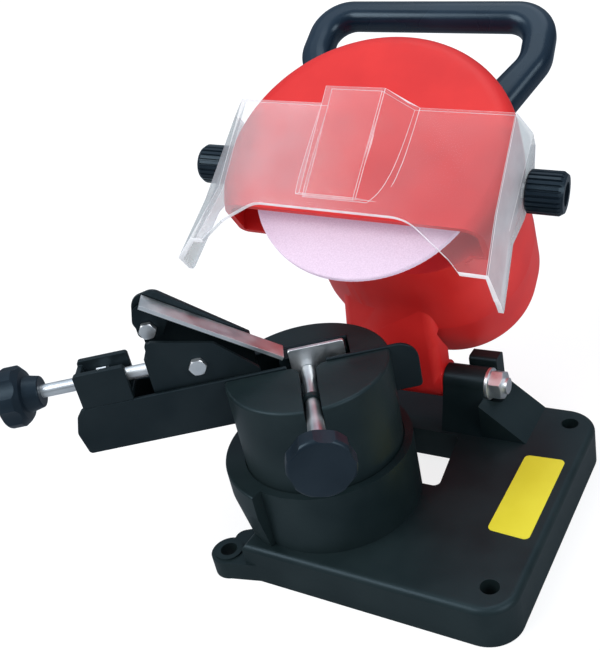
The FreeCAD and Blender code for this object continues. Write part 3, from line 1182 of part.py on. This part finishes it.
def save_head():
    guard_screws, cover_screws, handle_screws = head_screws()
    for name, shape in (("head_housing", head_housing()), ("guard_cover", guard_cover()),
                        ("motor_cover", motor_cover()), ("carry_handle", handle()),
                        ("guard_screws", guard_screws), ("motor_cover_screws", cover_screws),
                        ("handle_screws", handle_screws), ("cord_gland", cord_gland()),
                        ("switch_body", switch_body()), ("switch_rocker", switch_rocker()),
                        ("visor", visor()), ("visor_studs", visor_studs()),
                        ("visor_knob_left", visor_knob(-1)), ("visor_knob_right", visor_knob(1)),
                        ("stator", stator()), ("brush_holders", brush_holders()),
                        ("front_bearing", bearing(GUARD_BACK - BEARING_W)),
                        ("rear_bearing", bearing(REAR_BEARING_Z))):
        save(name, shape, HEAD_FRAME)
    screw, nut = depth_stop()
    save("depth_stop_screw", screw, HINGE_FRAME)
    save("depth_stop_nut", nut, HINGE_FRAME)
    save("return_spring", return_spring())


def save_spindle():
    for name, shape in (("grinding_wheel", grinding_wheel()), ("inner_flange", flange(-1)),
                        ("outer_flange", flange(1)), ("arbor_nut", arbor_nut()),
                        ("motor_shaft", motor_shaft()), ("armature", armature()),
                        ("commutator", commutator()), ("cooling_fan", cooling_fan())):
        save(name, shape, HEAD_FRAME)


save_base()
save_vise()
save_head()
save_spindle()
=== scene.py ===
"""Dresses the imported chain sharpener: procedural materials, soft light, camera and floor.

Lengths are in metres, angles in radians and colours linear, unless a name says otherwise.
"""
import bmesh
import bpy
import json
import math
from mathutils import Matrix, Vector

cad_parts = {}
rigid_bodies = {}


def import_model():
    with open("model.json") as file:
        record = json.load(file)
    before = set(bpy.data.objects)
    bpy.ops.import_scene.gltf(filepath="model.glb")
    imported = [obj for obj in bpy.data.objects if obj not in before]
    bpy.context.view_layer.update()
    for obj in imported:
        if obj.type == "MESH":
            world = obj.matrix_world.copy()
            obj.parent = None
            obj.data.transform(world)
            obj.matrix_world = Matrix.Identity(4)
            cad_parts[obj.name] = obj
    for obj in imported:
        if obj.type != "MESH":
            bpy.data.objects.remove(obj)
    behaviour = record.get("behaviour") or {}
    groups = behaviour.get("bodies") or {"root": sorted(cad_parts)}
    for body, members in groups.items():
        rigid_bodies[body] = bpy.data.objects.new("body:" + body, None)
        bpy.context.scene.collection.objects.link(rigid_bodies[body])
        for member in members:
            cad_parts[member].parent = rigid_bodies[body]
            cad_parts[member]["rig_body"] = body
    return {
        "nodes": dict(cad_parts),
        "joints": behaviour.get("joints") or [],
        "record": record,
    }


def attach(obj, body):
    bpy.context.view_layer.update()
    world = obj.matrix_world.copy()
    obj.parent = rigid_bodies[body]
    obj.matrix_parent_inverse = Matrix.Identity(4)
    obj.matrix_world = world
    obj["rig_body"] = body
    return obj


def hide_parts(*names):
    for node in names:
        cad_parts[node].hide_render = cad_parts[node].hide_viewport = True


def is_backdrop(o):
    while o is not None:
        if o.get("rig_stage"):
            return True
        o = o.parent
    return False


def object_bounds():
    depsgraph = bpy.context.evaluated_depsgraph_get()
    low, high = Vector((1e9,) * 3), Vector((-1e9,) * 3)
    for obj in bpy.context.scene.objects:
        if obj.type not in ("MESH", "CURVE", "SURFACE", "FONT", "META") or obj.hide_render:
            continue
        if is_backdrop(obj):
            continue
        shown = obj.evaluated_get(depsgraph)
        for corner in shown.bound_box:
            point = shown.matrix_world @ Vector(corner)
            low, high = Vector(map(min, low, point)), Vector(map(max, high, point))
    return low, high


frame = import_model()
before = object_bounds()
nodes = frame["nodes"]
joints = {joint["name"]: joint for joint in frame["joints"]}
slot_of = {part["node"]: part["material_slot"] for part in frame["record"]["subparts"]}


def as_lists(value):
    if isinstance(value, dict):
        return {k: as_lists(v) for k, v in value.items()}
    if hasattr(value, "__len__") and not isinstance(value, str):
        return [as_lists(v) for v in value]
    return round(float(value), 6)


# ---------------------------------------------------------------- shader helpers

NOISE_SPAN = (0.3, 0.7)       # most of a noise texture's values lie between these
TONE_SPAN = (0.35, 0.65)      # the stretch of the noise over which two tones blend
MOULDED_DRIFT = (0.88, 1.12)  # least and greatest share of a moulded surface's roughness,
METAL_DRIFT = (0.8, 1.25)     # of a metal's roughness
HAZE_DRIFT = (0.8, 1.2)       # and of a clear sheet's haze
WHITE = (1.0, 1.0, 1.0)


def new_material(name):
    mat = bpy.data.materials.new(name)
    mat.use_nodes = True
    return mat, mat.node_tree, mat.node_tree.nodes["Principled BSDF"]


def noise(tree, scale, detail=4.0, rough=0.5):
    """Noise in the object's own coordinates, scale in ripples per metre."""
    coords = tree.nodes.new("ShaderNodeTexCoord")
    tex = tree.nodes.new("ShaderNodeTexNoise")
    tex.inputs["Scale"].default_value = scale
    tex.inputs["Detail"].default_value = detail
    tex.inputs["Roughness"].default_value = rough
    tree.links.new(coords.outputs["Object"], tex.inputs["Vector"])
    return tex.outputs["Fac"]


def spread(tree, source, low, high, span=NOISE_SPAN):
    """Stretches the span of a source to run from low to high."""
    stretch = tree.nodes.new("ShaderNodeMapRange")
    stretch.inputs["From Min"].default_value = span[0]
    stretch.inputs["From Max"].default_value = span[1]
    stretch.inputs["To Min"].default_value = low
    stretch.inputs["To Max"].default_value = high
    tree.links.new(source, stretch.inputs["Value"])
    return stretch.outputs["Result"]


def drifting(tree, source, value, shares):
    """A value that drifts with a noise source between two shares of itself."""
    return spread(tree, source, value * shares[0], value * shares[1])


def blend(tree, source, span, first, second):
    """A colour that turns from the first to the second over the span of a source."""
    ramp = tree.nodes.new("ShaderNodeValToRGB")
    for stop, place, colour in zip(ramp.color_ramp.elements, span, (first, second)):
        stop.position = place
        stop.color = (*colour, 1)
    tree.links.new(source, ramp.inputs["Fac"])
    return ramp.outputs["Color"]


def bumpy(tree, bsdf, source, strength, distance):
    bump = tree.nodes.new("ShaderNodeBump")
    bump.inputs["Strength"].default_value = strength
    bump.inputs["Distance"].default_value = distance
    tree.links.new(source, bump.inputs["Height"])
    tree.links.new(bump.outputs["Normal"], bsdf.inputs["Normal"])


def generated(tree, axis):
    """One axis of the generated coordinates: 0 to 1 across an object, a direction for the sky."""
    coords = tree.nodes.new("ShaderNodeTexCoord")
    axes = tree.nodes.new("ShaderNodeSeparateXYZ")
    tree.links.new(coords.outputs["Generated"], axes.inputs["Vector"])
    return axes.outputs[axis]


def by_ray(tree, ray, inside, other):
    """One shader for one kind of ray and another for the rest."""
    path = tree.nodes.new("ShaderNodeLightPath")
    mix = tree.nodes.new("ShaderNodeMixShader")
    tree.links.new(path.outputs[ray], mix.inputs["Fac"])
    tree.links.new(other, mix.inputs[1])
    tree.links.new(inside, mix.inputs[2])
    return mix.outputs["Shader"]


# ---------------------------------------------------------------- materials

def moulded(name, dark, light, rough, grain=900.0, bump=0.08, coat=0.0, gloss=0.5, sheen=WHITE):
    """A moulded or painted surface: soft colour drift, fine grain and uneven gloss."""
    mat, tree, bsdf = new_material(name)
    drift = noise(tree, scale=35.0, detail=3.0)
    tree.links.new(blend(tree, drift, TONE_SPAN, dark, light), bsdf.inputs["Base Color"])
    tree.links.new(drifting(tree, drift, rough, MOULDED_DRIFT), bsdf.inputs["Roughness"])
    bumpy(tree, bsdf, noise(tree, scale=grain, detail=2.0), bump, distance=0.0002)
    bsdf.inputs["Coat Weight"].default_value = coat
    bsdf.inputs["Coat Roughness"].default_value = 0.2
    bsdf.inputs["Specular IOR Level"].default_value = gloss
    bsdf.inputs["Specular Tint"].default_value = (*sheen, 1)
    return mat


def metal(name, dark, light, rough, grain=1400.0, bump=0.05):
    """Bare or plated metal: slightly blotched, with fine grain."""
    mat, tree, bsdf = new_material(name)
    drift = noise(tree, scale=120.0, detail=3.0)
    tree.links.new(blend(tree, drift, TONE_SPAN, dark, light), bsdf.inputs["Base Color"])
    tree.links.new(drifting(tree, drift, rough, METAL_DRIFT), bsdf.inputs["Roughness"])
    bsdf.inputs["Metallic"].default_value = 1.0
    bumpy(tree, bsdf, noise(tree, scale=grain, detail=2.0), bump, distance=0.0001)
    return mat


def abrasive(name, dark, light, painted_light_tint, glow):
    """Bonded grit: tiny dark and light grains, with an even painted glow that lifts the wheel out of
    the guard's shade.
    """
    mat, tree, bsdf = new_material(name)
    grit = noise(tree, scale=1500.0, detail=3.0, rough=0.7)
    tree.links.new(blend(tree, grit, TONE_SPAN, dark, light), bsdf.inputs["Base Color"])
    bsdf.inputs["Roughness"].default_value = 0.92
    # painted light: the wheel gives off a faint light of its own, to brighten it where the guard
    # shades it
    bsdf.inputs["Emission Color"].default_value = (*painted_light_tint, 1)
    bsdf.inputs["Emission Strength"].default_value = glow
    bumpy(tree, bsdf, grit, strength=0.5, distance=0.0004)
    return mat


def clear_sheet(name, haze, tint, slant, fade, glow=0.0, body=(0.87, 0.87, 0.90)):
    """Clear sheet plastic: see-through face on, and cloudier where it is seen at a slant.

    The haze turns from full at the left to the share given as fade at the right.
    """
    mat, tree, bsdf = new_material(name)
    clear = tree.nodes.new("ShaderNodeBsdfTransparent")
    clear.inputs["Color"].default_value = (*tint, 1)
    rim = tree.nodes.new("ShaderNodeLayerWeight")
    rim.inputs["Blend"].default_value = 0.18
    across = spread(tree, generated(tree, "X"), 1.0, fade, span=(0.25, 0.75))
    scuffed = drifting(tree, noise(tree, scale=60.0), haze, HAZE_DRIFT)
    veil = tree.nodes.new("ShaderNodeMath")
    veil.operation = "MULTIPLY"
    tree.links.new(across, veil.inputs[0])
    tree.links.new(scuffed, veil.inputs[1])
    cover = tree.nodes.new("ShaderNodeMath")
    cover.operation = "MULTIPLY_ADD"
    cover.inputs[1].default_value = slant
    tree.links.new(rim.outputs["Facing"], cover.inputs[0])
    tree.links.new(veil.outputs["Value"], cover.inputs[2])
    bsdf.inputs["Base Color"].default_value = (*body, 1)
    bsdf.inputs["Roughness"].default_value = 0.12
    # the glow is painted light: above nought it makes the sheet bright without a lamp, as on the
    # bright cut edges and folds
    bsdf.inputs["Emission Color"].default_value = (0.95, 0.97, 1.0, 1)
    bsdf.inputs["Emission Strength"].default_value = glow
    mix = tree.nodes.new("ShaderNodeMixShader")
    tree.links.new(cover.outputs["Value"], mix.inputs["Fac"])
    tree.links.new(clear.outputs["BSDF"], mix.inputs[1])
    tree.links.new(bsdf.outputs["BSDF"], mix.inputs[2])
    tree.links.new(mix.outputs["Shader"], tree.nodes["Material Output"].inputs["Surface"])
    return mat


BLUE_SHEEN = (0.62, 0.84, 1.0)      # the black pieces reflect a cool sky
MOULDED = {
    "black_casting": dict(dark=(0.006, 0.012, 0.013), light=(0.011, 0.019, 0.020), rough=0.42,
                          grain=700.0, bump=0.12, gloss=0.30, sheen=BLUE_SHEEN),
    "black_steel": dict(dark=(0.005, 0.009, 0.011), light=(0.009, 0.014, 0.016), rough=0.40,
                        grain=1100.0, bump=0.05, gloss=0.26, sheen=BLUE_SHEEN),
    "black_plastic": dict(dark=(0.006, 0.011, 0.017), light=(0.010, 0.017, 0.025), rough=0.36,
                          grain=1300.0, bump=0.05, gloss=0.32, sheen=BLUE_SHEEN),
    "black_gloss": dict(dark=(0.004, 0.011, 0.022), light=(0.007, 0.017, 0.032), rough=0.28,
                        grain=1200.0, bump=0.05, coat=0.08, gloss=0.36, sheen=BLUE_SHEEN),
    "red_plastic": dict(dark=(0.60, 0.012, 0.012), light=(0.68, 0.020, 0.018), rough=0.44,
                        grain=1100.0, bump=0.06, gloss=0.35),
    "fan_plastic": dict(dark=(0.42, 0.42, 0.40), light=(0.5, 0.5, 0.48), rough=0.5),
    "rocker_plastic": dict(dark=(0.012, 0.012, 0.014), light=(0.02, 0.02, 0.022), rough=0.3),
    "gland_rubber": dict(dark=(0.012, 0.012, 0.012), light=(0.02, 0.02, 0.02), rough=0.7),
    "yellow_label": dict(dark=(0.76, 0.66, 0.03), light=(0.82, 0.72, 0.04), rough=0.4),
}
METALS = {
    "zinc_steel": dict(dark=(0.82, 0.85, 0.87), light=(0.92, 0.94, 0.95), rough=0.37),
    "spring_steel": dict(dark=(0.38, 0.39, 0.41), light=(0.5, 0.5, 0.52), rough=0.3),
    "bearing_steel": dict(dark=(0.7, 0.7, 0.72), light=(0.8, 0.8, 0.82), rough=0.15),
    "shaft_steel": dict(dark=(0.5, 0.5, 0.52), light=(0.62, 0.62, 0.64), rough=0.25),
    "alloy": dict(dark=(0.62, 0.63, 0.65), light=(0.74, 0.75, 0.77), rough=0.35),
    "lamination": dict(dark=(0.2, 0.2, 0.21), light=(0.3, 0.3, 0.31), rough=0.5),
    "copper": dict(dark=(0.65, 0.3, 0.16), light=(0.78, 0.4, 0.22), rough=0.35),
    "brass_parts": dict(dark=(0.62, 0.45, 0.18), light=(0.72, 0.54, 0.24), rough=0.35),
}
MATERIALS = {name: moulded(name, **look) for name, look in MOULDED.items()}
MATERIALS.update({name: metal(name, **look) for name, look in METALS.items()})
# the wheel's glow is painted light that brightens it where the guard shades it
MATERIALS["abrasive"] = abrasive("abrasive", dark=(0.56, 0.44, 0.52), light=(0.67, 0.55, 0.63),
                                 painted_light_tint=(0.84, 0.66, 0.98), glow=0.24)
MATERIALS["clear_sheet"] = clear_sheet("clear_sheet", haze=0.10, tint=(0.985, 0.985, 0.99),
                                       slant=0.55, fade=0.15)
# cut edges and folds: bright with a painted highlight from the glow, and drawn as grey lines by the
# darker tint
SHEET_EDGE_HIGHLIGHT = clear_sheet("sheet_edge_highlight", haze=0.62, tint=(0.66, 0.71, 0.74), slant=0.35,
                         fade=1.0, glow=0.22)
# the sides: a shaded copy of the clear sheet, its darker tint and body painted shade, with a faint
# painted glow
SHADED_SHEET_SIDE = clear_sheet("shaded_sheet_side", haze=0.28, tint=(0.82, 0.86, 0.86), slant=0.40,
                         fade=1.3, glow=0.03, body=(0.62, 0.64, 0.68))


def paint(obj, slot):
    obj.data.materials.clear()
    obj.data.materials.append(MATERIALS[slot])


# ---------------------------------------------------------------- softened pieces

WELD = 1e-6                          # corners closer than this are one
FLAT = math.radians(1.2)             # facets that turn less than this are one face
EDGE_ANGLE = math.radians(32.0)      # edges sharper than this are rounded
EDGE_WIDTHS = {                      # how far each node's rounding reaches from its edges
    "base_casting": 0.0009, "swivel_drum": 0.0008, "chain_rail": 0.0006, "fixed_jaw": 0.0004,
    "clamp_jaw": 0.0004, "adjust_block": 0.0006, "stop_carriage": 0.0005, "chain_stop": 0.0004,
    "head_housing": 0.0009, "guard_cover": 0.0007, "motor_cover": 0.0008, "switch_body": 0.0004,
    "switch_rocker": 0.0004, "hinge_nut": 0.0004, "arbor_nut": 0.0003, "hinge_washers": 0.0002,
    "stop_nuts": 0.0003, "adjust_nut": 0.0003, "base_label": 0.0001,
}
# chain stop faces further than this from the joint get the leaf's painted shade
LEAF_BESIDE_PIVOT = 0.00185          # from the chain stop's joint to the near face of its leaf


def merged_copy(name, face_look=None):
    """A node's mesh with its flat facets merged, and the look of each face if one is asked for."""
    mesh = nodes[name].data.copy()
    mesh.materials.clear()
    work = bmesh.new()
    work.from_mesh(mesh)
    bmesh.ops.remove_doubles(work, verts=work.verts, dist=WELD)
    bmesh.ops.dissolve_limit(work, angle_limit=FLAT, verts=work.verts, edges=work.edges)
    if face_look:
        for face in work.faces:
            face.material_index = face_look(face)
    work.to_mesh(mesh)
    work.free()
    return mesh


def finish_object(name, mesh):
    obj = bpy.data.objects.new(name + "_finish", mesh)
    bpy.context.scene.collection.objects.link(obj)
    return obj


def round_edges(obj, label, width, angle):
    bevel = obj.modifiers.new(label, "BEVEL")
    bevel.width = width
    bevel.segments = 2
    bevel.limit_method = "ANGLE"
    bevel.angle_limit = angle
    return bevel


def bake_modifiers(obj):
    graph = bpy.context.evaluated_depsgraph_get()
    mesh = bpy.data.meshes.new_from_object(obj.evaluated_get(graph))
    obj.modifiers.clear()
    obj.data = mesh


def stand_in(obj, name):
    """Lets a finished piece take its node's place on the node's body."""
    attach(obj, nodes[name]["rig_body"])
    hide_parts(name)


def soften(name, width):
    """A copy of a node with small rounded edges, as a moulded, cast or folded piece has."""
    mesh = merged_copy(name)
    mesh.shade_smooth()
    obj = finish_object(name, mesh)
    bevel = round_edges(obj, "edge", width, EDGE_ANGLE)
    bevel.harden_normals = True
    bevel.use_clamp_overlap = True
    bevel.miter_outer = "MITER_ARC"
    obj.modifiers.new("flat", "WEIGHTED_NORMAL")
    bake_modifiers(obj)
    stand_in(obj, name)
    paint(obj, slot_of[name])
    return obj


def paint_leaf_shade(obj):
    """The chain stop's flange keeps its zinc; the leaf on its bolt, at the far side, gets the black
    steel look as painted shade, for the shade under the flange.
    """
    across = Vector(joints["chain_stop_flip"]["axis"])
    pivot = Vector(joints["chain_stop_flip"]["pos_m"])
    obj.data.materials.append(MATERIALS["black_steel"])
    black = len(obj.data.materials) - 1
    # faces on the leaf's side take black steel: painted shade on a single zinc piece
    for face in obj.data.polygons:
        if (face.center - pivot).dot(across) > LEAF_BESIDE_PIVOT:
            face.material_index = black


# ---------------------------------------------------------------- visor

SHEET_T = 0.002
CUT_EDGE_WIDTH = SHEET_T * 1.02      # a strip narrower than this is a cut edge
FOLD_WIDTH = 0.0009
FOLD_ANGLE = math.radians(14)        # the shallowest fold that shows as a line
CREASE_ANGLE = math.radians(34)      # shading breaks at edges sharper than this
SIDE_FROM = 0.05                     # the visor's sides start this far from the wheel's axis
SIDE_LEAN = 0.3                      # the least share of a side's normal that points sideways
WINDOW_HALF = 0.030                  # the raised window's reach beside the wheel's axis,
WINDOW_LOW, WINDOW_HIGH = -0.0295, 0.0185     # and below and above it
# the edge look carries a painted highlight, the side look painted shade
PANEL, HIGHLIGHTED_EDGE, SHADED_SIDE = range(3)     # places of the visor's looks in its list of materials


def head_axes():
    """The head's own axes at rest as rows: to the right, up along the guard, and forwards."""
    right = Vector(joints["visor_tilt"]["axis"])
    ahead = Vector(joints["spindle_spin"]["axis"])
    return Matrix((right, ahead.cross(right), ahead))


def visor_look(face):
    """Whether a face of the visor belongs to a panel, to a cut edge or to a side."""
    to_head = head_axes()
    normal = to_head @ face.normal
    centre = to_head @ (face.calc_center_median() - Vector(joints["spindle_spin"]["pos_m"]))
    if abs(centre.x) < WINDOW_HALF and WINDOW_LOW < centre.y < WINDOW_HIGH:
        return PANEL
    # sideways faces away from the window take the shaded copy of the sheet: painted shade
    if abs(normal.x) > SIDE_LEAN and abs(centre.x) > SIDE_FROM:
        return SHADED_SIDE
    width = 2 * face.calc_area() / max(face.calc_perimeter(), WELD)
    return HIGHLIGHTED_EDGE if width < CUT_EDGE_WIDTH else PANEL


def clear_visor():
    """The visor with rounded folds; its folds and cut edges bright with a painted highlight, and its
    sides in painted shade.
    """
    mesh = merged_copy("visor", visor_look)
    for look in (MATERIALS["clear_sheet"], SHEET_EDGE_HIGHLIGHT, SHADED_SHEET_SIDE):
        mesh.materials.append(look)
    obj = finish_object("visor", mesh)
    fold = round_edges(obj, "fold", FOLD_WIDTH, FOLD_ANGLE)
    fold.material = HIGHLIGHTED_EDGE
    bake_modifiers(obj)
    obj.data.shade_smooth()
    obj.data.set_sharp_from_angle(angle=CREASE_ANGLE)
    stand_in(obj, "visor")


# ---------------------------------------------------------------- floor, camera and light

FLOOR_SIZE, FLOOR_DROP = 9.0, 0.0002
FLOOR_NEAR_GLOW, FLOOR_FAR_GLOW = 0.82, 1.0   # the floor turns white away from the part,
FLOOR_FADE = (0.35, 1.5)                      # between these distances
FOCAL_MM, SENSOR_MM = 49.37, 36.0
CAMERA_PLACE = (0.20185, -0.26777, 0.2907)
CAMERA_RIGHT, CAMERA_AHEAD = (0.8437, 0.4989, -0.1984), (-0.5284, 0.7063, -0.4710)
HORIZON, ZENITH = (0.06, 0.07, 0.08), (0.72, 0.84, 0.98)
SKY_SPAN = (0.0, 0.9)
SKY_STRENGTH = 0.75
SOFTBOXES = {
    "key": dict(place=(-0.55, -0.80, 1.0), aim=(0.0, 0.0, 0.1), size=0.8, watts=12.0),
    "right": dict(place=(1.1, -0.3, 0.6), aim=(0.0, 0.05, 0.1), size=0.6, watts=5.0),
    "top": dict(place=(0.1, 0.4, 1.4), aim=(0.0, 0.05, 0.1), size=1.0, watts=5.0),
}


def floor_material():
    """White to the eye with a soft shade, a bright fill for the part, and dim in its gloss."""
    mat, tree, bsdf = new_material("floor_white")
    bsdf.inputs["Base Color"].default_value = (0.24, 0.24, 0.245, 1)
    bsdf.inputs["Roughness"].default_value = 0.8
    bsdf.inputs["Specular IOR Level"].default_value = 0.05
    bsdf.inputs["Emission Color"].default_value = (*WHITE, 1)
    place = tree.nodes.new("ShaderNodeNewGeometry")
    distance = tree.nodes.new("ShaderNodeVectorMath")
    distance.operation = "LENGTH"
    tree.links.new(place.outputs["Position"], distance.inputs[0])
    glow = spread(tree, distance.outputs["Value"], FLOOR_NEAR_GLOW, FLOOR_FAR_GLOW, FLOOR_FADE)
    tree.links.new(glow, bsdf.inputs["Emission Strength"])
    fill = tree.nodes.new("ShaderNodeEmission")
    fill.inputs["Color"].default_value = (0.97, 0.97, 1.0, 1)
    fill.inputs["Strength"].default_value = 1.25
    dull = tree.nodes.new("ShaderNodeBsdfDiffuse")
    dull.inputs["Color"].default_value = (0.22, 0.24, 0.26, 1)
    bounced = by_ray(tree, "Is Glossy Ray", dull.outputs["BSDF"], fill.outputs["Emission"])
    all_rays = by_ray(tree, "Is Camera Ray", bsdf.outputs["BSDF"], bounced)
    tree.links.new(all_rays, tree.nodes["Material Output"].inputs["Surface"])
    return mat


def floor():
    bpy.ops.mesh.primitive_plane_add(size=FLOOR_SIZE, location=(0, 0, -FLOOR_DROP))
    plane = bpy.context.object
    plane.name = "floor"
    plane.data.materials.append(floor_material())
    plane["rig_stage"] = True


def camera():
    """The photograph's camera, fitted to the base's edges, the drum, the rail and the wheel."""
    data = bpy.data.cameras.new("camera")
    data.lens = FOCAL_MM
    data.sensor_width = SENSOR_MM
    data.clip_start = 0.01
    data.clip_end = 20.0
    obj = bpy.data.objects.new("camera", data)
    bpy.context.scene.collection.objects.link(obj)
    right = Vector(CAMERA_RIGHT).normalized()
    ahead = Vector(CAMERA_AHEAD).normalized()
    right = (right - ahead * right.dot(ahead)).normalized()
    up = right.cross(ahead).normalized()
    turn = Matrix((right, up, -ahead)).transposed().to_4x4()
    obj.matrix_world = Matrix.Translation(CAMERA_PLACE) @ turn
    bpy.context.scene.camera = obj


def softbox(name, place, aim, size, watts):
    data = bpy.data.lights.new(name, "AREA")
    data.energy = watts
    data.shape = "RECTANGLE"
    data.size = size
    data.size_y = size
    obj = bpy.data.objects.new(name, data)
    obj.location = place
    obj.rotation_euler = (Vector(aim) - Vector(place)).to_track_quat("-Z", "Y").to_euler()
    bpy.context.scene.collection.objects.link(obj)


def studio_air():
    """White behind the part, and a cool sky over a dim horizon for what it reflects."""
    world = bpy.data.worlds.new("studio")
    world.use_nodes = True
    tree = world.node_tree
    sky = tree.nodes["Background"]
    tree.links.new(blend(tree, generated(tree, "Z"), SKY_SPAN, HORIZON, ZENITH), sky.inputs["Color"])
    sky.inputs["Strength"].default_value = SKY_STRENGTH
    plain = tree.nodes.new("ShaderNodeBackground")
    plain.inputs["Color"].default_value = (*WHITE, 1)
    both = by_ray(tree, "Is Camera Ray", plain.outputs["Background"], sky.outputs["Background"])
    tree.links.new(both, tree.nodes["World Output"].inputs["Surface"])
    bpy.context.scene.world = world


# ---------------------------------------------------------------- the scene

for node_name, node_slot in slot_of.items():
    paint(nodes[node_name], node_slot)
finished = {name: soften(name, width) for name, width in EDGE_WIDTHS.items()}
# the chain stop's black leaf is painted shade
paint_leaf_shade(finished["chain_stop"])
clear_visor()
floor()
camera()
studio_air()
for light_name, light in SOFTBOXES.items():
    softbox(light_name, **light)
bpy.context.scene.view_settings.view_transform = "Standard"

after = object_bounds()
{"before": as_lists(before), "after": as_lists(after)}
